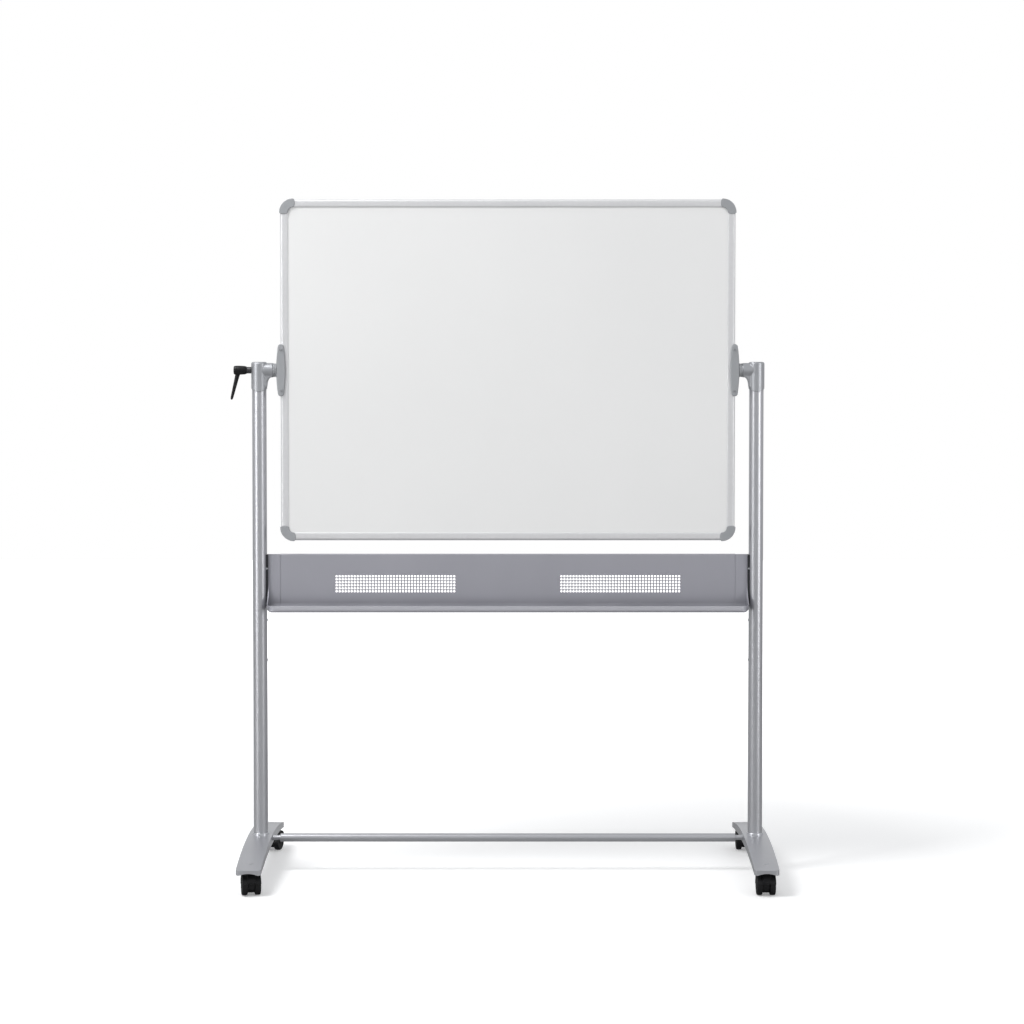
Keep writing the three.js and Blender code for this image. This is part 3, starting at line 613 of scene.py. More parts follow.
def painted_fold_shade_and_lip_highlight(tree, tone):
    """Painted shade in the trough, darkest in the fold behind the lip and broken into streaks, and a painted
    highlight along the lip's front edge.
    """
    place = object_place(tree)
    axes = node(tree, "ShaderNodeSeparateXYZ", {0: place}).outputs
    floor, front = TRAY_FLOOR * MM, -TRAY_REACH * MM
    rise = remap(tree, axes["Z"], floor + 2 * MM, floor + 48 * MM, 1.0, 0.0)
    inside = remap(tree, axes["Y"], front + 4 * MM, front + 8 * MM)
    above = remap(tree, axes["Z"], floor - 0.2 * MM, floor + 0.6 * MM)
    streaks = noise(tree, stretch(tree, place, (0.35, 1.0, 1.0)), 22.0, 5.0, 0.6)
    amount = product(tree, rise, rise, inside, above, remap(tree, streaks, 0.2, 0.8, 0.45, 0.8))
    # Painted shade: the fold is darkened towards near black, in streaks.
    fold_shaded = mix(tree, amount, tone, PAINTED_FOLD_SHADE)
    # Painted highlight: the lip's front edge is lightened.
    lip_highlight_mask = remap(tree, axes["Y"], front + 2 * MM, front)
    return mix(tree, product(tree, lip_highlight_mask, 0.5), fold_shaded, PAINTED_LIP_HIGHLIGHT)


def grey_plastic():
    return coated("grey_moulding", finishes().grey_plastic, roughness=0.48, grain=1500.0, depth=0.03 * MM,
                  wear=0.25, worn=(0.5, 0.5, 0.53))


def grey_lacquer():
    return coated("grey_lacquer", finishes().grey_plastic, roughness=0.5, grain=1500.0, depth=0.02 * MM)


def tray_paint():
    # The tray's paint carries painted shade in its fold and a painted highlight on its lip.
    return coated("tray_powder_coat", finishes().tray, roughness=0.46, grain=1100.0, depth=0.02 * MM,
                  metallic=0.25, drift=0.025, dust=0.05, painted_light=painted_fold_shade_and_lip_highlight)


def cast_silver():
    return coated("silver_casting", finishes().casting, roughness=0.4, grain=700.0, depth=0.05 * MM,
                  metallic=0.75, dust=0.06, wear=0.2)


def black_plastic():
    return coated("black_moulding", finishes().black, roughness=0.36, grain=1300.0, depth=0.03 * MM,
                  drift=0.1, dust=0.03, wear=0.2, worn=(0.05, 0.05, 0.055), specular=0.25)


def wheel_tread():
    return coated("wheel_tread", (0.008, 0.008, 0.009), roughness=0.55, grain=800.0, depth=0.06 * MM,
                  drift=0.15, dust=0.06, specular=0.25)


def packing_black():
    return coated("packing_black", (0.012, 0.013, 0.016), roughness=0.75, grain=900.0, depth=0.06 * MM,
                  drift=0.1, dust=0.05)


def black_steel():
    return coated("blackened_steel", (0.03, 0.03, 0.034), roughness=0.34, grain=1500.0, depth=0.01 * MM,
                  metallic=0.8, drift=0.05, dust=0.0, wear=0.3, worn=(0.35, 0.35, 0.36))


def zinc_plate():
    return drawn_metal("zinc_plate", (0.7, 0.71, 0.73), roughness=0.28, stretched=(1.0, 1.0, 1.0),
                       depth=0.015 * MM)


def anodised_aluminium(name, stretched):
    return drawn_metal(name, finishes().aluminium, roughness=0.45, stretched=stretched, metallic=0.45)


# ---- Sizes and colours that can be changed ----

class WhiteboardSizes(bpy.types.PropertyGroup):
    """Sizes of the detail that the CAD frame leaves out."""

    hole_width: FloatProperty(name="Tray Hole", description="Side of each square hole in the pen tray",
                              default=5 * MM, unit="LENGTH")
    hole_pitch: FloatProperty(name="Hole Pitch", description="Spacing of the holes in the pen tray",
                              default=8 * MM, unit="LENGTH")
    hole_columns: IntProperty(name="Hole Columns", description="Holes along each perforated field",
                              default=40)
    hole_rows: IntProperty(name="Hole Rows", description="Rows of holes in each perforated field", default=6)
    field_offset: FloatProperty(name="Field Offset", default=298 * MM, unit="LENGTH",
                                description="From the tray's middle to each perforated field's")
    field_height: FloatProperty(name="Field Height", description="Height of the perforated fields' middle",
                                default=767 * MM, unit="LENGTH")
    edge_rounding: FloatProperty(name="Edge Rounding", description="Rounding of the plastic pieces' edges",
                                 default=1.5 * MM, unit="LENGTH")


class WhiteboardFinishes(bpy.types.PropertyGroup):
    """Base colours of the finishes."""

    enamel: FloatVectorProperty(name="Enamel", description="Writing surface", subtype="COLOR",
                                default=(0.83, 0.83, 0.825))
    aluminium: FloatVectorProperty(name="Aluminium", description="Anodised frame rails", subtype="COLOR",
                                   default=(0.72, 0.72, 0.73))
    grey_plastic: FloatVectorProperty(name="Grey Plastic", description="Corner caps, housings and washers",
                                      subtype="COLOR", default=(0.33, 0.34, 0.355))
    silver: FloatVectorProperty(name="Silver Paint", description="Posts, feet and cross bar", subtype="COLOR",
                                default=(0.5, 0.505, 0.53))
    casting: FloatVectorProperty(name="Silver Casting", description="Head brackets", subtype="COLOR",
                                 default=(0.42, 0.43, 0.45))
    tray: FloatVectorProperty(name="Tray Paint", description="Pen tray and its ends", subtype="COLOR",
                              default=(0.365, 0.365, 0.405))
    black: FloatVectorProperty(name="Black Plastic", description="Casters and clamp lever", subtype="COLOR",
                               default=(0.007, 0.007, 0.008))


class WhiteboardStage(bpy.types.PropertyGroup):
    """The camera and the lights."""

    distance: FloatProperty(name="Camera Distance", description="From the camera to the board's plane",
                            default=6.052, unit="LENGTH")
    height: FloatProperty(name="Camera Height", description="Height of the camera above the floor",
                          default=1.386, unit="LENGTH")
    offset: FloatProperty(name="Camera Offset", default=0.011, unit="LENGTH",
                          description="The camera's place to the right of the stand's middle")
    pitch: FloatProperty(name="Pitch", description="How far the camera looks down", default=math.radians(2.0),
                         subtype="ANGLE")
    shift: FloatProperty(name="Shift", description="Vertical shift of the lens, in frame widths",
                         default=-0.08)
    lens: FloatProperty(name="Lens", description="Focal length in millimetres on a 36 mm frame", default=80.5)
    horizon_light: FloatProperty(name="Horizon Light", default=0.67,
                                 description="Strength of the even light from the sides")
    zenith_light: FloatProperty(name="Zenith Light", description="Strength of the even light from above",
                                default=0.7)
    key_light: FloatProperty(name="Key Light", default=98.0,
                             description="Power of the panel above and to the left, in watts")
    side_lights: FloatProperty(name="Side Lights", description="Power of each tall side panel, in watts",
                               default=4.6)
    spread: FloatProperty(name="Side Spread", description="Angle that the side panels light", subtype="ANGLE",
                          default=math.radians(42))


# ---- Board ----

RAIL_COVER = 11
BOARD_HALF_WIDTH = size("board_core").x / MM / 2 + RAIL_COVER
BOARD_HALF_HEIGHT = size("board_core").z / MM / 2 + RAIL_COVER
RAIL_FACE, RAIL_HALF_DEPTH, SLOT_HALF_DEPTH = 21, 11, 8.6
RAIL_END = 30
GAP = 0.3


def rail_section(grow=0.0, slotted=True):
    """The frame's section: x runs outwards from the inner lip, and y through the board."""
    edge, half, corner = RAIL_FACE + grow, RAIL_HALF_DEPTH + grow, 7
    lip = half - 1.6
    outside = [
        (-grow, lip), (1.2, half - 0.7), (4, half),
        *arc(edge - corner, half - corner, corner, 90, 0, 14),
        *arc(edge - corner, corner - half, corner, 0, -90, 14),
        (4, -half), (1.2, 0.7 - half), (-grow, -lip),
    ]
    if not slotted:
        return outside
    slot, bottom, corner = SLOT_HALF_DEPTH, 19.2, 5
    return outside + [
        (0, -slot), *arc(bottom - corner, corner - slot, corner, -90, 0, 5),
        *arc(bottom - corner, slot - corner, corner, 0, 90, 5), (0, slot),
    ]


def rail(name, distance, half_length, angle, section):
    """A rail upright on the right, turned about the board's middle into its place."""
    outline = [(x + distance - RAIL_FACE, y) for x, y in section]
    return move(prism(name, outline, -half_length, half_length), Matrix.Rotation(math.radians(angle), 4, "Y"))


class WHITEBOARD_OT_writing_sheets(bpy.types.Operator):
    """Enamel both steel writing sheets and finish the honeycomb core between them"""

    bl_idname = "whiteboard.writing_sheets"
    bl_label = "Writing Sheets"

    def execute(self, context):
        refinish(writing_enamel(), "writing_sheet_front", "writing_sheet_back")
        refinish(honeycomb_board(), "board_core")
        return {"FINISHED"}


class WHITEBOARD_OT_frame_rails(bpy.types.Operator):
    """Make the four anodised rails round the board"""

    bl_idname = "whiteboard.frame_rails"
    bl_label = "Frame Rails"

    def execute(self, context):
        across = anodised_aluminium("drawn_across", (0.02, 1.0, 1.0))
        upright = anodised_aluminium("drawn_upright", (1.0, 1.0, 0.02))
        width, height = BOARD_HALF_WIDTH - RAIL_END, BOARD_HALF_HEIGHT - RAIL_END
        places = (
            ("top", BOARD_HALF_HEIGHT, width, -90, across),
            ("bottom", BOARD_HALF_HEIGHT, width, 90, across),
            ("left", BOARD_HALF_WIDTH, height, 180, upright),
            ("right", BOARD_HALF_WIDTH, height, 0, upright),
        )
        for place, distance, half_length, angle, metal in places:
            obj = rail(f"rail_{place}", distance, half_length, angle, rail_section())
            install(obj, "board", metal, [f"frame_rail_{place}"], ON_BOARD, crease=40)
        return {"FINISHED"}


class WHITEBOARD_OT_corner_caps(bpy.types.Operator):
    """Make the bean-shaped plastic corner caps"""

    bl_idname = "whiteboard.corner_caps"
    bl_label = "Corner Caps"

    def execute(self, context):
        proud, outer, inner, end = 1.8, 36, 13, 5
        middle_radius, half = (outer + inner) / 2, (outer - inner) / 2
        bean = [
            *arc(0, 0, outer, 0, 90, 24),
            *ellipse_arc(0, middle_radius, end, half, 90, 270, 18)[1:-1],
            *arc(0, 0, inner, 90, 0, 14),
            *ellipse_arc(middle_radius, 0, half, end, 180, 360, 18)[1:-1],
        ]
        depth = RAIL_HALF_DEPTH + proud
        cap = prism("corner_cap", bean, -depth, depth, "Y")
        soften(cap, context.scene.whiteboard_sizes.edge_rounding / MM, 4)
        shift = proud - outer
        move(cap, Matrix.Translation((BOARD_HALF_WIDTH + shift, 0, BOARD_HALF_HEIGHT + shift)))
        envelope, stub, reach = rail_section(GAP, slotted=False), 40, 80
        start = RAIL_END - GAP + stub
        side = rail("side", BOARD_HALF_WIDTH, stub, 0, envelope)
        move(side, Matrix.Translation((0, 0, BOARD_HALF_HEIGHT - start)))
        top = rail("top", BOARD_HALF_HEIGHT, stub, -90, envelope)
        move(top, Matrix.Translation((BOARD_HALF_WIDTH - start, 0, 0)))
        edge = RAIL_COVER - GAP
        panel = block("panel", (BOARD_HALF_WIDTH - reach, -SLOT_HALF_DEPTH, BOARD_HALF_HEIGHT - reach),
                      (BOARD_HALF_WIDTH - edge, SLOT_HALF_DEPTH, BOARD_HALF_HEIGHT - edge))
        carve(cap, side, top, panel)
        turns = {
            "top_right": (0, "Y"), "top_left": (180, "Z"),
            "bottom_right": (180, "X"), "bottom_left": (180, "Y"),
        }
        for place, (angle, axis) in turns.items():
            turn = Matrix.Rotation(math.radians(angle), 4, axis)
            install(duplicate(cap, f"cap_{place}"), "board", grey_plastic(),
                    [f"corner_cap_{place}"], ON_BOARD @ turn, crease=35)
        bpy.data.objects.remove(cap)
        return {"FINISHED"}


# ---- Pivots ----

HOUSING_X = 598.5
HOUSING_HALF_LENGTH, HOUSING_HALF_WIDTH, HOUSING_HALF_DEPTH = 69, 12.3, 16
HOUSING_SCREWS = (("top", 54), ("bottom", -54))
SHAFT_BORE = 10.5
ARM_END = 619.5


def housing_outline(steps=22):
    """A long oval whose sides are two arcs that run into its round ends."""
    end = 8
    reach = HOUSING_HALF_LENGTH - end
    radius = (HOUSING_HALF_WIDTH ** 2 + reach ** 2 - end ** 2) / (2 * (HOUSING_HALF_WIDTH - end))
    centre = radius - HOUSING_HALF_WIDTH
    angle = math.degrees(math.atan2(reach, centre))
    return [
        *arc(-centre, 0, radius, -angle, angle, steps),
        *arc(0, reach, end, angle, 180 - angle, 14)[1:],
        *arc(centre, 0, radius, 180 - angle, 180 + angle, steps)[1:],
        *arc(0, -reach, end, 180 + angle, 360 - angle, 14)[1:-1],
    ]


def pan_head_screw(name, head, height, shank, length):
    """A cross-recessed screw that points along +Y, with the underside of its head at 0."""
    crown = ellipse_arc(0, -height * 0.35, head, height * 0.65, 0, -90, 8)
    profile = [(0, length), (shank, length), (shank, 0), (head, 0), *crown[:-1], (0, -height)]
    screw = lathe(name, profile, "Y", 40)
    half_width, half_length, bottom = head * 0.14, head * 0.58, -height * 0.45
    for angle in (18, 108):
        bar = block("bar", (-half_width, -height - 1, -half_length), (half_width, bottom, half_length))
        carve(screw, move(bar, Matrix.Rotation(math.radians(angle), 4, "Y")))
    return screw


class WHITEBOARD_OT_pivots(bpy.types.Operator):
    """Make the pivot housings with their screws, and the friction washers"""

    bl_idname = "whiteboard.pivots"
    bl_label = "Pivots"

    def execute(self, context):
        housing = prism("housing", housing_outline(), -HOUSING_HALF_DEPTH, HOUSING_HALF_DEPTH, "Y")
        soften(housing, 3, 6)
        move(housing, Matrix.Translation((HOUSING_X, 0, 0)))
        holes = []
        for radius, bottom, segments in ((2.3, -8, 32), (3.7, -15.6, 40)):
            for _, height in HOUSING_SCREWS:
                place = Matrix.Translation((HOUSING_X - 1, 0, height))
                holes.append(move(rod("hole", radius, -20, bottom, "Y", segments), place))
        flange = block("flange", (599, -11.3, -30.3), (603.6, 11.3, 30.3))
        bore = rod("bore", SHAFT_BORE, 602, 623, "X")
        envelope = rail("envelope", BOARD_HALF_WIDTH, 80, 0, rail_section(GAP, slotted=False))
        carve(housing, envelope, flange, bore, *holes)
        install_pair(housing, "housing", "board", grey_plastic(), "pivot_housing", ON_BOARD, 35)
        washer = lathe("washer", [
            (SHAFT_BORE, 611.1), (17.2, 611.1), (18, 611.9), (18, 613.9), (17.6, 614.3), (16.6, 614.6),
            (16.6, 615.7), (17.6, 616), (18, 616.4), (18, 618.4), (17.2, 619.2), (SHAFT_BORE, 619.2),
        ], "X", 72)
        install_pair(washer, "washer", "stand", grey_plastic(), "pivot_washer", ON_BOARD)
        for side, sign in SIDES:
            for end, height in HOUSING_SCREWS:
                screw = pan_head_screw(f"screw_{side}_{end}", 3.4, 2.1, 1.9, 3.9)
                place = Matrix.Translation((HOUSING_X - 1, -16.3, height))
                install(screw, "board", grey_lacquer(), [f"housing_screw_{side}_{end}"],
                        ON_BOARD @ mirrored(sign) @ place, crease=30)
            refinish(zinc_plate(), f"pivot_shaft_{side}")
        return {"FINISHED"}


# ---- Posts and their heads ----

POST_RADIUS, POST_BOTTOM, POST_TOP = 19, 100.4, 1312
POST_SCREWS = (("upper", 671), ("lower", 565))
HEAD_TOP, HEAD_SKIRT, HEAD_TONGUE = 1355, 1289, 1276
AT_POST = Matrix.Translation((POST_X, 0, 0))
AT_PIVOT = Matrix.Translation((0, 0, PIVOT_HEIGHT))


class WHITEBOARD_OT_head_brackets(bpy.types.Operator):
    """Cast the head brackets, each an arm and a socket with a web in the corner"""

    bl_idname = "whiteboard.head_brackets"
    bl_label = "Head Brackets"

    def execute(self, context):
        for side, sign in SIDES:
            dome = ellipse_arc(15, HEAD_TOP - 5, 6, 5, 0, 90, 8)
            socket = lathe("socket", [(0, HEAD_TONGUE), (21, HEAD_TONGUE), *dome, (0, HEAD_TOP)], "Z", 72)
            rim = [(18.2, ARM_END), (19, ARM_END + 0.8), (19, POST_X)]
            arm = move(lathe("arm", [(0, ARM_END), *rim, (0, POST_X)], "X", 72), AT_PIVOT)
            inner, under = ARM_END + 2, PIVOT_HEIGHT - 18
            fillet = bend((inner, under), (POST_X - 21, under), (POST_X - 21, HEAD_SKIRT), 16)
            corner = [(POST_X, PIVOT_HEIGHT), (inner, PIVOT_HEIGHT), *fillet, (POST_X, HEAD_SKIRT)]
            web = prism("web", corner, -13, 13, "Y")
            bracket = fuse(move(socket, AT_POST), soften(arm, 0.2, 2, 60), soften(web, 3, 4))
            bracket.name = f"bracket_{side}"
            left, right, low = POST_X - 26, POST_X + 26, HEAD_TONGUE - 20
            hem = bend((left, HEAD_SKIRT), (POST_X, 2 * HEAD_TONGUE - HEAD_SKIRT), (right, HEAD_SKIRT), 32)
            carve(bracket, prism("hem", [(left, low), (right, low), *reversed(hem)], -40, 40, "Y"))
            cast(bracket, 0.8, 5, 0.35)
            bores = [
                move(rod("post", POST_RADIUS + GAP, low, POST_TOP + GAP, "Z", 96), AT_POST),
                move(rod("shaft", SHAFT_BORE, ARM_END - 5, POST_X - 16.4, "X"), AT_PIVOT),
            ]
            if side == "left":
                bores.append(move(rod("stud", 4.5, POST_X - 22, POST_X + 26, "X", 32), AT_PIVOT))
            carve(bracket, *bores)
            install(bracket, "stand", cast_silver(), [f"head_bracket_{side}"],
                    ON_STAND @ mirrored(sign), crease=45)
        return {"FINISHED"}


class WHITEBOARD_OT_posts(bpy.types.Operator):
    """Make the two steel posts and the small screws in them"""

    bl_idname = "whiteboard.posts"
    bl_label = "Posts"

    def execute(self, context):
        bolt, bore, plate = 5.5, 17.5, POST_BOTTOM + 5
        tube = lathe("tube", [(bolt, POST_BOTTOM), (POST_RADIUS, POST_BOTTOM), (POST_RADIUS, POST_TOP),
                              (bore, POST_TOP), (bore, plate), (bolt, plate)], "Z", 128)
        install_pair(move(tube, AT_POST), "tube", "stand", silver_paint(), "post")
        turn = Matrix.Rotation(math.radians(-90), 4, "Z")
        for label, height in POST_SCREWS:
            for side, sign in SIDES:
                screw = pan_head_screw(f"post_screw_{side}_{label}", 3.2, 1.9, 1.6, 3)
                place = Matrix.Translation((POST_X - POST_RADIUS - 0.1, 0, height)) @ turn
                install(screw, "stand", zinc_plate(), (), ON_STAND @ mirrored(sign) @ place,
                        crease=30)
        return {"FINISHED"}


# ---- Feet and cross bar ----

FOOT_HALF, FOOT_HALF_WIDTH = 300, 32
FOOT_CROWN, FOOT_TIP = 100, 69
SKIRT_CROWN, SKIRT_TIP = 77, 56
FOOT_WALL = 2.5
CASTER_Y = 250
BAR_HEIGHT = 90


def foot_body(name, wall, low):
    """The foot's outside, or its hollow with a wall's thickness taken off, down to a level below its skirt."""
    half_width = FOOT_HALF_WIDTH - wall
    side = [*bow(FOOT_CROWN - wall, FOOT_TIP - wall, FOOT_HALF), (-FOOT_HALF, low), (FOOT_HALF, low)]
    plan = rounded_rectangle(half_width, FOOT_HALF - wall, 10 - wall, 8)
    return trim(prism(name, side, -half_width, half_width, "X"), prism("plan", plan, low - 10, 130))


class WHITEBOARD_OT_feet(bpy.types.Operator):
    """Press the arched feet, with their collars, caster bosses and bolts"""

    bl_idname = "whiteboard.feet"
    bl_label = "Feet"

    def execute(self, context):
        foot = soften(foot_body("foot", 0, 30), 3.2, 5, 40)
        skirt = bow(SKIRT_CROWN, SKIRT_TIP, FOOT_HALF)
        below = prism("below", [*skirt, (-FOOT_HALF - 1, 20), (FOOT_HALF + 1, 20)], -40, 40, "X")
        arch_radius = 60
        arch = rod("arch", arch_radius, -310, 310, "Y", 160)
        move(arch, Matrix.Translation((0, 0, SKIRT_TIP + 5 - arch_radius)))
        carve(foot, foot_body("hollow", FOOT_WALL, 10), below, arch)
        rise = FOOT_CROWN - FOOT_TIP
        radius = (FOOT_HALF ** 2 + rise ** 2) / (2 * rise)
        boss_top = FOOT_CROWN - CASTER_Y ** 2 / (2 * radius) - 1
        ends = [Matrix.Translation((0, y, 0)) for y in (-CASTER_Y, CASTER_Y)]
        fuse(foot, *[move(rod("boss", 11, 57, boss_top), end) for end in ends])
        bolt = rod("bolt", 5.5, 60, FOOT_CROWN + 5, "Z", 32)
        spigot = move(rod("spigot", 5.4, -37, -10, "X", 32), Matrix.Translation((0, 0, BAR_HEIGHT)))
        stems = [move(rod("stem", 5.5, 40, boss_top - 2.2, "Z", 32), end) for end in ends]
        carve(foot, bolt, spigot, *stems)
        install_pair(move(foot, AT_POST), "arched_foot", "stand", silver_paint(), "foot",
                     crease=32)
        rim = ellipse_arc(21, 103.3, 1, 1.2, 0, 90, 5) + arc(20.2, 103.6, 0.9, 90, 180, 4)
        collar = lathe("collar", [(POST_RADIUS + GAP, 99.4), (22, 99.4), *rim], "Z", 96)
        install_pair(move(collar, AT_POST), "collar", "stand", zinc_plate())
        refinish(zinc_plate(), "foot_bolt_left", "foot_bolt_right")
        return {"FINISHED"}


class WHITEBOARD_OT_cross_bar(bpy.types.Operator):
    """Make the tube between the feet, with its necked ends"""

    bl_idname = "whiteboard.cross_bar"
    bl_label = "Cross Bar"

    def execute(self, context):
        wall = POST_X - FOOT_HALF_WIDTH - GAP
        shoulder = [(radius, x) for x, radius in arc(603.2, 9.2, 1.8, 90, 0, 5)]
        neck = [(6.9, 605.2), (6.5, 606), (6.5, wall - 3.4)]
        flange = [(6.9, wall - 3), (7.4, wall - 3), (7.8, wall - 2.6), (7.8, wall)]
        spigot = [(5, wall), (5, wall + 12), (0, wall + 12)]
        half = shoulder + neck + flange + spigot
        bar = lathe("tie_bar", [(radius, -x) for radius, x in reversed(half)] + half, "X", 72)
        install(bar, "stand", silver_paint(), ["cross_bar"],
                ON_STAND @ Matrix.Translation((0, 0, BAR_HEIGHT)))
        return {"FINISHED"}


# ---- Pen tray ----

TRAY_HALF, TRAY_END = 603, 635
TRAY_TOP, TRAY_FLOOR, TRAY_LIP, TRAY_REACH = 846, 698, 715, 69
TRAY_SHEET, TRAY_FLANGE = 1.5, 10
TRAY_BEND, TRAY_TOE = 20, 9


def trough_line(out):
    """The bend, the floor and the lip of the trough in y and z, a distance out from the sheet's middle."""
    return [
        *arc(-TRAY_BEND, TRAY_FLOOR + TRAY_BEND, TRAY_BEND + out, 0, -90, 16),
        *arc(TRAY_TOE - TRAY_REACH, TRAY_FLOOR + TRAY_TOE, TRAY_TOE + out, -90, -180, 10),
    ]


def hole_edges(centre, count, width, pitch):
    """The edges of a row of holes about a centre."""
    first = centre - (count - 1) * pitch / 2
    return [first + i * pitch + side * width / 2 for i in range(count) for side in (-1, 1)]


def perforated_sheet(sizes):
    """The folded sheet as its middle surface, with square holes through two fields of the panel."""
    width, pitch = sizes.hole_width / MM, sizes.hole_pitch / MM
    offset, height = sizes.field_offset / MM, sizes.field_height / MM
    along = [-TRAY_HALF]
    for centre in (-offset, offset):
        along += hole_edges(centre, sizes.hole_columns, width, pitch)
    along.append(TRAY_HALF)
    columns = 2 * sizes.hole_columns
    rows = hole_edges(height, sizes.hole_rows, width, pitch)
    top, fold = TRAY_TOP - TRAY_SHEET / 2, 2
    line = [(TRAY_FLANGE, top), *arc(fold, top - fold, fold, 90, 180, 5)]
    first_row, last_row = len(line), len(line) + len(rows) - 1
    line += [(0, z) for z in reversed(rows)] + [*trough_line(0), (-TRAY_REACH, TRAY_LIP)]
    bm = bmesh.new()
    grid = [[bm.verts.new((x, y, z)) for x in along] for y, z in line]
    for row in range(len(line) - 1):
        for column in range(len(along) - 1):
            in_rows = first_row <= row < last_row and (row - first_row) % 2 == 0
            in_columns = column % 2 == 1 and column != columns
            if not (in_rows and in_columns):
                above, below = grid[row], grid[row + 1]
                bm.faces.new((above[column], above[column + 1], below[column + 1], below[column]))
    return object_from("folded_sheet", bm)


def tray_plan(reach, front, radius):
    """The tray's plan in x and y, with the end cap's front corner rounded."""
    start = TRAY_HALF - 20
    return [(start, 5), (start, front), *arc(reach - radius, front + radius, radius, -90, 0, 20), (reach, 5)]


def tray_end_face(reach, radius, raised=0):
    """The tray's end in x and z, with the lower outer corner rounded."""
    start, low, high = TRAY_HALF - 30, TRAY_FLOOR - TRAY_SHEET / 2 + raised, TRAY_TOP + 30
    corner = arc(reach - radius, low + radius, radius, -90, 0, 16)
    return [(start, low), *corner, (reach, high), (start, high)]


def tray_end():
    """The moulded end, hollow like the trough, with a cheek that sweeps up to the panel."""
    out, wall, sweep, plan_corner, face_corner = TRAY_SHEET / 2, 2.5, 62, 26, 17
    front = -out - TRAY_REACH
    cheek = arc(-wall - sweep, TRAY_LIP + sweep, sweep, 0, -84, 28)
    section = [(out, TRAY_TOP), (out - wall, TRAY_TOP), *cheek, (front, TRAY_LIP), *reversed(trough_line(out))]
    rim, low, high = TRAY_TOP + 10, TRAY_FLOOR - 10, TRAY_TOP + 20
    hollow = [(out - wall, rim), *trough_line(out - wall), (front + wall, rim)]
    body = prism("tray_end", section, TRAY_HALF - 12, TRAY_END, "X")
    inside = prism("inside", hollow, TRAY_HALF - 25, TRAY_END, "X")
    for solid, skin in ((body, 0), (inside, wall)):
        plan = tray_plan(TRAY_END - skin, front + skin, plan_corner - skin)
        face = tray_end_face(TRAY_END - skin, face_corner - skin, skin)
        trim(solid, prism("plan", plan, low, high), prism("face", face, -100, 30, "Y"))
    soften(body, 1.6, 4, 40)
    return carve(body, inside, block("square", (TRAY_HALF - 30, -90, low), (TRAY_HALF, 20, high)))


class WHITEBOARD_OT_pen_tray(bpy.types.Operator):
    """Fold and perforate the pen tray, and mould its two ends"""

    bl_idname = "whiteboard.pen_tray"
    bl_label = "Pen Tray"

    def execute(self, context):
        sheet = perforated_sheet(context.scene.whiteboard_sizes)
        thickness = sheet.modifiers.new("Sheet thickness", "SOLIDIFY")
        thickness.thickness = TRAY_SHEET
        thickness.offset = 0
        thickness.use_even_offset = True
        settle(sheet)
        soften(sheet, 0.3, 1, 60)
        install(sheet, "stand", tray_paint(), ["pen_tray"], ON_STAND, crease=40)
        install_pair(tray_end(), "tray_end", "stand", tray_paint(), "tray_end_cap", crease=32)
        return {"FINISHED"}


class WHITEBOARD_OT_packing_strips(bpy.types.Operator):
    """Make the black strips that bed the tray against the posts"""

    bl_idname = "whiteboard.packing_strips"
    bl_label = "Packing Strips"

    def execute(self, context):
        strip = block("packing", (TRAY_END + GAP, -9, TRAY_FLOOR + 10), (TRAY_END + 10, 9, TRAY_TOP - 1))
        carve(strip, block("notch", (TRAY_END - 5, -20, 805), (TRAY_END + 20, -4, 811)))
        soften(strip, 0.6, 3)
        carve(strip, move(rod("post", POST_RADIUS + GAP, TRAY_FLOOR, TRAY_TOP, "Z", 96), AT_POST))
        install_pair(strip, "packing", "stand", packing_black(), "tray_spacer")
        screw = pan_head_screw("tray_screw", 2.2, 1.2, 1.1, 2)
        move(screw, Matrix.Translation((TRAY_END + 2.6, -6.4, 808)))
        install_pair(screw, "tray_screw", "stand", zinc_plate(), crease=30)
        return {"FINISHED"}


# ---- Clamp lever ----

class WHITEBOARD_OT_clamp_lever(bpy.types.Operator):
    """Make the clamp lever, its threaded stud and its screw, on the left head"""

    bl_idname = "whiteboard.clamp_lever"
    bl_label = "Clamp Lever"

    def execute(self, context):
        place = ON_STAND @ mirrored(-1) @ AT_PIVOT
        low = POST_X - 35
        stud = lathe("threaded_stud", [
            (0, low), (3.4, low), (4, low + 0.8), (4, 678.5), (8.2, 678.5), (8.7, 679), (8.7, 689.2),
            (8.2, 689.7), (7, 689.7), (7, 705.6), (6.6, 706), (3.4, 706), (3.4, 694), (0, 694),
        ], "X", 48)
        install(stud, "clamp_screw", black_steel(), ["clamp_stud"], place)
        hub = lathe("hub", [
            (0, 690), (9.3, 690), (9.8, 690.5), (11.2, 695), (11.7, 702), (12, 710), (11.9, 717),
            (11.4, 721.5), (11.2, 722.4), (10.6, 723.4), (9.5, 724), (0, 724),
        ], "X", 64)
        arm = lathe("arm", [(0, 0), (6.6, 0), (6.2, -8), (5.5, -20), (4.7, -44), (3.9, -66), (3.6, -71),
                            (3.1, -74.6), (2.1, -76.5), (1.0, -77.2), (0, -77.2)], "Z", 40)
        lean = Matrix.Translation((712, 0, -3)) @ Matrix.Rotation(math.radians(-14), 4, "Y")
        flat = Matrix.Scale(0.8, 4, (0, 1, 0))
        lever = cast(fuse(hub, move(arm, lean @ flat)), 0.5, 6, 0.4)
        lever.name = "lever_handle"
        carve(lever, rod("teeth", 7.4, 685, 706.5, "X", 48), rod("shank", 3.5, 700, 720, "X", 32),
              rod("seat", 6.2, 711, 729, "X", 48))
        install(lever, "clamp_lever", black_plastic(), ["clamp_lever"], place, crease=45)
        screw = pan_head_screw("handle_screw", 5.6, 4.6, 3, 20)
        turn = Matrix.Translation((716.2, 0, 0)) @ Matrix.Rotation(math.radians(90), 4, "Z")
        install(screw, "clamp_screw", black_steel(), ["lever_screw"], place @ turn, crease=30)
        return {"FINISHED"}


# ---- Casters ----

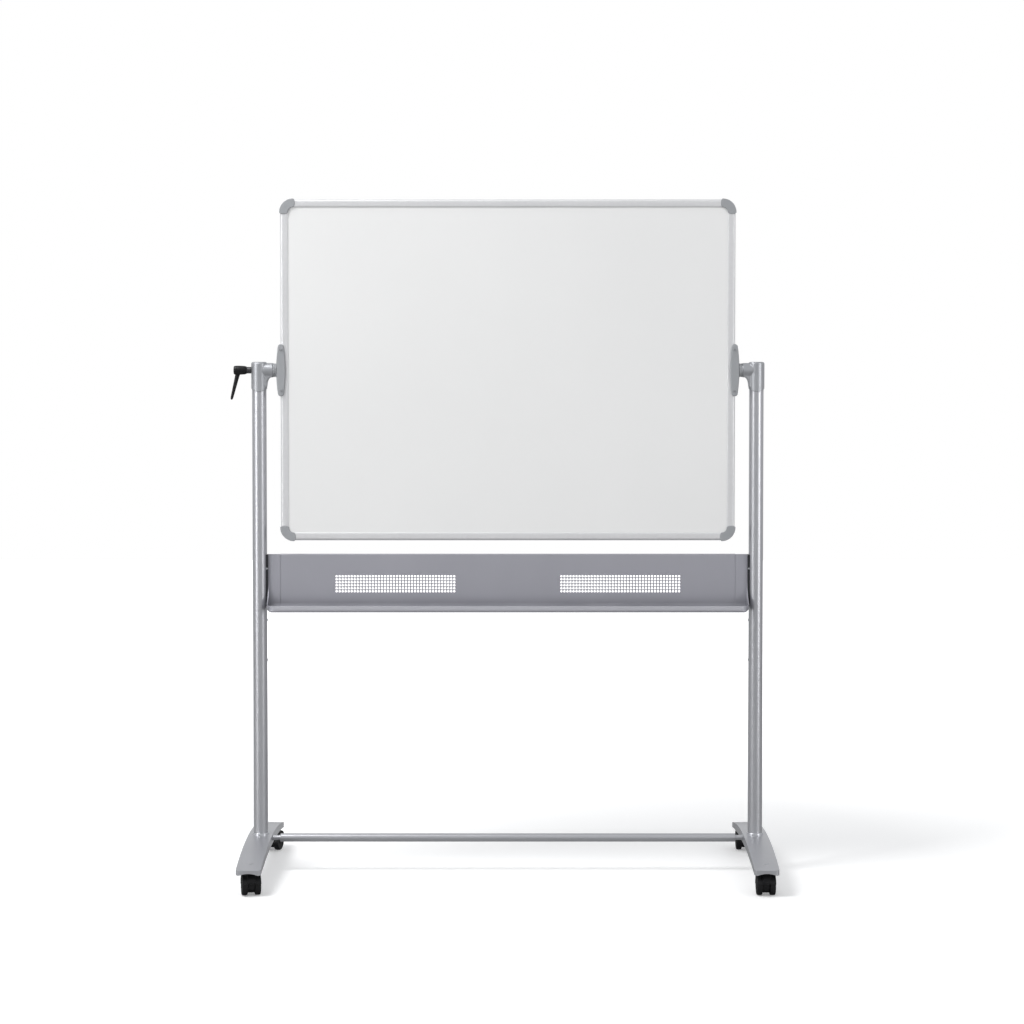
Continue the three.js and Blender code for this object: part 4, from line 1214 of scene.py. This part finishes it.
TRAIL, WHEEL_RADIUS = 16, 25
AT_AXLE = Matrix.Translation((0, -TRAIL, WHEEL_RADIUS))


def caster_ring(inner, outer, start, end, steps):
    """Part of a ring about the axle, in y and z."""
    outside = arc(-TRAIL, WHEEL_RADIUS, outer, start, end, steps)
    return outside + arc(-TRAIL, WHEEL_RADIUS, inner, end, start, steps)


def caster_body():
    """The hood over both wheels, the web between them and the boss for the stem, moulded in one."""
    hood = soften(prism("hood", caster_ring(26.6, 29, -5, 165, 40), -24, 24, "X"), 0.9, 3)
    outline = [*arc(-TRAIL, WHEEL_RADIUS, 19, 180, 360, 24), (5, 44), (-20, 52.5), (-TRAIL - 19, 40)]
    web = soften(prism("web", outline, -8.4, 8.4, "X"), 0.8, 2)
    boss = lathe("boss", [(0, 26), (9, 26), (9, 52.8), (8.2, 53.8), (7.6, 54), (0, 54)], "Z", 56)
    axle = move(rod("axle", 3.3, -12, 12, "X", 32), AT_AXLE)
    return carve(fuse(hood, web, boss), rod("stem", 5.4, 34, 60, "Z", 40), axle)


def brake_pedal():
    """A curved tread over the hood, with fine ribs across its end."""
    pedal = soften(prism("pedal", caster_ring(29.6, 32.2, 108, 158, 24), -10, 10, "X"), 0.7, 3)
    for y, z in arc(-TRAIL, WHEEL_RADIUS, 31.95, 140, 154.4, 4):
        fuse(pedal, move(rod("rib", 0.55, -8, 8, "X", 12), Matrix.Translation((0, y, z))))
    return pedal


def caster_wheel():
    """A wheel with a rounded tread and a dished outer face."""
    return lathe("wheel", [
        (3.4, 9.3), (22.2, 9.3), (24.2, 10.1), (24.9, 11.6), (25, 13.5), (25, 19.6), (24.8, 21.6),
        (24, 23.2), (22.6, 23.9), (21.2, 24), (20.4, 23.8), (20.0, 22.9), (18.6, 22.3), (9.2, 22.0),
        (8.6, 22.4), (8.2, 23.2), (7.2, 23.6), (0, 23.6), (0, 20.6),
    ], "X", 88)


class WHITEBOARD_OT_casters(bpy.types.Operator):
    """Make the four twin-wheel casters, the front two with brake pedals"""

    bl_idname = "whiteboard.casters"
    bl_label = "Casters"

    def execute(self, context):
        body, wheel, pedal = caster_body(), caster_wheel(), brake_pedal()
        stem = lathe("pin", [(0, 34.6), (5, 34.6), (5, 54.4), (7.6, 54.4), (8, 54.8), (8, 56.3), (7.6, 56.7),
                             (5, 56.7), (5, 73), (4.5, 73.5), (0, 73.5)], "Z", 48)
        for name in CASTER_NAMES:
            pin, axle = middle(f"caster_stem_{name}"), middle(f"caster_axle_{name}")
            angle = math.atan2(axle.y - pin.y, axle.x - pin.x) + math.pi / 2
            place = Matrix.Translation((pin.x, pin.y, 0)) @ Matrix.Rotation(angle, 4, "Z") @ IN_MILLIMETRES
            install(duplicate(body, f"hood_{name}"), f"caster_{name}", black_plastic(),
                    [f"caster_body_{name}"], place, crease=40)
            install(duplicate(stem, f"pin_{name}"), "stand", zinc_plate(),
                    [f"caster_stem_{name}"], place)
            for letter, sign in (("a", 1), ("b", -1)):
                rider = f"caster_wheel_{letter}_{name}"
                install(duplicate(wheel, f"wheel_{letter}_{name}"), rider, wheel_tread(),
                        [rider], place @ AT_AXLE @ mirrored(sign))
            if f"brake_pedal_{name}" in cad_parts:
                install(duplicate(pedal, f"pedal_{name}"), f"brake_pedal_{name}",
                        black_plastic(), [f"brake_pedal_{name}"], place)
            refinish(zinc_plate(), f"caster_axle_{name}")
        for obj in (body, wheel, pedal, stem):
            bpy.data.objects.remove(obj)
        return {"FINISHED"}


# ---- Stage ----

# In metres from the stand's middle: a panel's place, its target, its width and its height.
KEY_PANEL = ((-2.2, -1.3, 4.2), (0, 0, 0.2), 1.4, 1.8)
SIDE_PANELS = (
    ("left_panel", (-4.0, -3.0, 1.3), (-0.8, 0, 1.0), 1.5, 3.4),
    ("right_panel", (4.0, -3.0, 1.3), (0.8, 0, 1.0), 1.5, 3.4),
)
FLOOR_HALF, FLOOR_CORNER, FLOOR_DEPTH = 9, 2, 0.05
PAPER_SEEN, PAPER_LIT = (0.95, 0.95, 0.95, 1.0), (0.42, 0.42, 0.42, 1.0)
GLOW_START, GLOW_END = 1.2, 4.0
HORIZON_LEVEL, ZENITH_LEVEL = 0.05, 0.85
AIR = (0.975, 0.985, 1.0, 1.0)


def floor_material():
    """White studio paper that looks even, and glows a little more away from the stand."""

    def surface(tree, shader):
        skin = group(tree, fine_grain(), {"Scale": 300.0})
        seen = node(tree, "ShaderNodeLightPath").outputs["Is Camera Ray"]
        tone = drifting(tree, mix(tree, seen, PAPER_LIT, PAPER_SEEN), scale=0.6, amount=0.004)
        distance = node(tree, "ShaderNodeVectorMath", {0: object_place(tree)}, operation="LENGTH")
        glow = remap(tree, distance.outputs["Value"], GLOW_START, GLOW_END, 0.2, 1.0)
        plug(tree, shader, Base_Color=tone, Roughness=0.85, Normal=bump(tree, skin["Height"], 0.02 * MM),
             Emission_Color=WHITE, Emission_Strength=product(tree, glow, seen), Specular_IOR_Level=0.1)

    return material("studio_paper", surface)


def studio_world(horizon, zenith):
    """White where the camera looks, and an even pale light from all round for everything else."""
    world = bpy.data.worlds.new("studio")
    world.use_nodes = True
    tree = world.node_tree
    tree.nodes.clear()
    seen = node(tree, "ShaderNodeLightPath").outputs["Is Camera Ray"]
    paper = node(tree, "ShaderNodeBackground", {"Color": WHITE, "Strength": 1.0}).outputs[0]
    direction = tree.nodes.new("ShaderNodeTexCoord").outputs["Generated"]
    height = node(tree, "ShaderNodeSeparateXYZ", {0: direction}).outputs["Z"]
    strength = remap(tree, height, HORIZON_LEVEL, ZENITH_LEVEL, horizon, zenith)
    air = node(tree, "ShaderNodeBackground", {"Color": AIR, "Strength": strength}).outputs[0]
    both = node(tree, "ShaderNodeMixShader", {0: seen, 1: air, 2: paper}).outputs[0]
    node(tree, "ShaderNodeOutputWorld", {"Surface": both})
    return world


def panel_light(name, place, target, width, height, watts, spread=math.pi):
    """A soft box at a place, facing a target."""
    light = bpy.data.lights.new(name, "AREA")
    light.shape = "RECTANGLE"
    light.size, light.size_y = width, height
    light.energy = watts
    light.spread = spread
    obj = bpy.data.objects.new(name, light)
    obj.location = STAND_CENTRE + Vector(place)
    obj.rotation_euler = (Vector(target) - Vector(place)).to_track_quat("-Z", "Y").to_euler()
    bpy.context.scene.collection.objects.link(obj)


class WHITEBOARD_OT_stage(bpy.types.Operator):
    """Lay the white floor, set the lights and place the camera"""

    bl_idname = "whiteboard.stage"
    bl_label = "Stage"

    def execute(self, context):
        scene, stage = context.scene, context.scene.whiteboard_stage
        outline = rounded_rectangle(FLOOR_HALF, FLOOR_HALF, FLOOR_CORNER, 12)
        floor = prism("studio_floor", outline, 0, -FLOOR_DEPTH)
        floor.data.materials.append(floor_material())
        scene.world = studio_world(stage.horizon_light, stage.zenith_light)
        panel_light("key_panel", *KEY_PANEL, stage.key_light)
        for panel in SIDE_PANELS:
            panel_light(*panel, stage.side_lights, stage.spread)
        camera = bpy.data.cameras.new("camera")
        camera.sensor_width = 36
        camera.lens = stage.lens
        camera.shift_y = stage.shift
        eye = bpy.data.objects.new("camera", camera)
        eye.location = STAND_CENTRE + Vector((stage.offset, -stage.distance, stage.height))
        eye.rotation_euler = (math.pi / 2 - stage.pitch, 0, 0)
        scene.collection.objects.link(eye)
        scene.camera = eye
        scene.view_settings.view_transform = "Standard"
        return {"FINISHED"}


# ---- Panel and registration ----

STEPS = (
    WHITEBOARD_OT_stage,
    WHITEBOARD_OT_writing_sheets,
    WHITEBOARD_OT_frame_rails,
    WHITEBOARD_OT_corner_caps,
    WHITEBOARD_OT_pivots,
    WHITEBOARD_OT_head_brackets,
    WHITEBOARD_OT_posts,
    WHITEBOARD_OT_feet,
    WHITEBOARD_OT_cross_bar,
    WHITEBOARD_OT_pen_tray,
    WHITEBOARD_OT_packing_strips,
    WHITEBOARD_OT_clamp_lever,
    WHITEBOARD_OT_casters,
)
SETTINGS = (
    ("whiteboard_sizes", WhiteboardSizes),
    ("whiteboard_finishes", WhiteboardFinishes),
    ("whiteboard_stage", WhiteboardStage),
)


class WHITEBOARD_PT_builder(bpy.types.Panel):
    """Lists the settings and the steps that build the whiteboard"""

    bl_idname = "WHITEBOARD_PT_builder"
    bl_label = "Rolling Whiteboard"
    bl_space_type = "VIEW_3D"
    bl_region_type = "UI"
    bl_category = "Whiteboard"

    def draw(self, context):
        for step in STEPS:
            self.layout.operator(step.bl_idname)
        for name, settings in SETTINGS:
            box = self.layout.box()
            for key in settings.__annotations__:
                box.prop(getattr(context.scene, name), key)


def register():
    for name, settings in SETTINGS:
        bpy.utils.register_class(settings)
        setattr(bpy.types.Scene, name, PointerProperty(type=settings))
    for step in STEPS:
        bpy.utils.register_class(step)
    bpy.utils.register_class(WHITEBOARD_PT_builder)


def unregister():
    bpy.utils.unregister_class(WHITEBOARD_PT_builder)
    for step in reversed(STEPS):
        bpy.utils.unregister_class(step)
    for name, settings in reversed(SETTINGS):
        delattr(bpy.types.Scene, name)
        bpy.utils.unregister_class(settings)


def main():
    register()
    for step in STEPS:
        group_name, operator = step.bl_idname.split(".")
        getattr(getattr(bpy.ops, group_name), operator)()


if __name__ == "__main__":
    main()
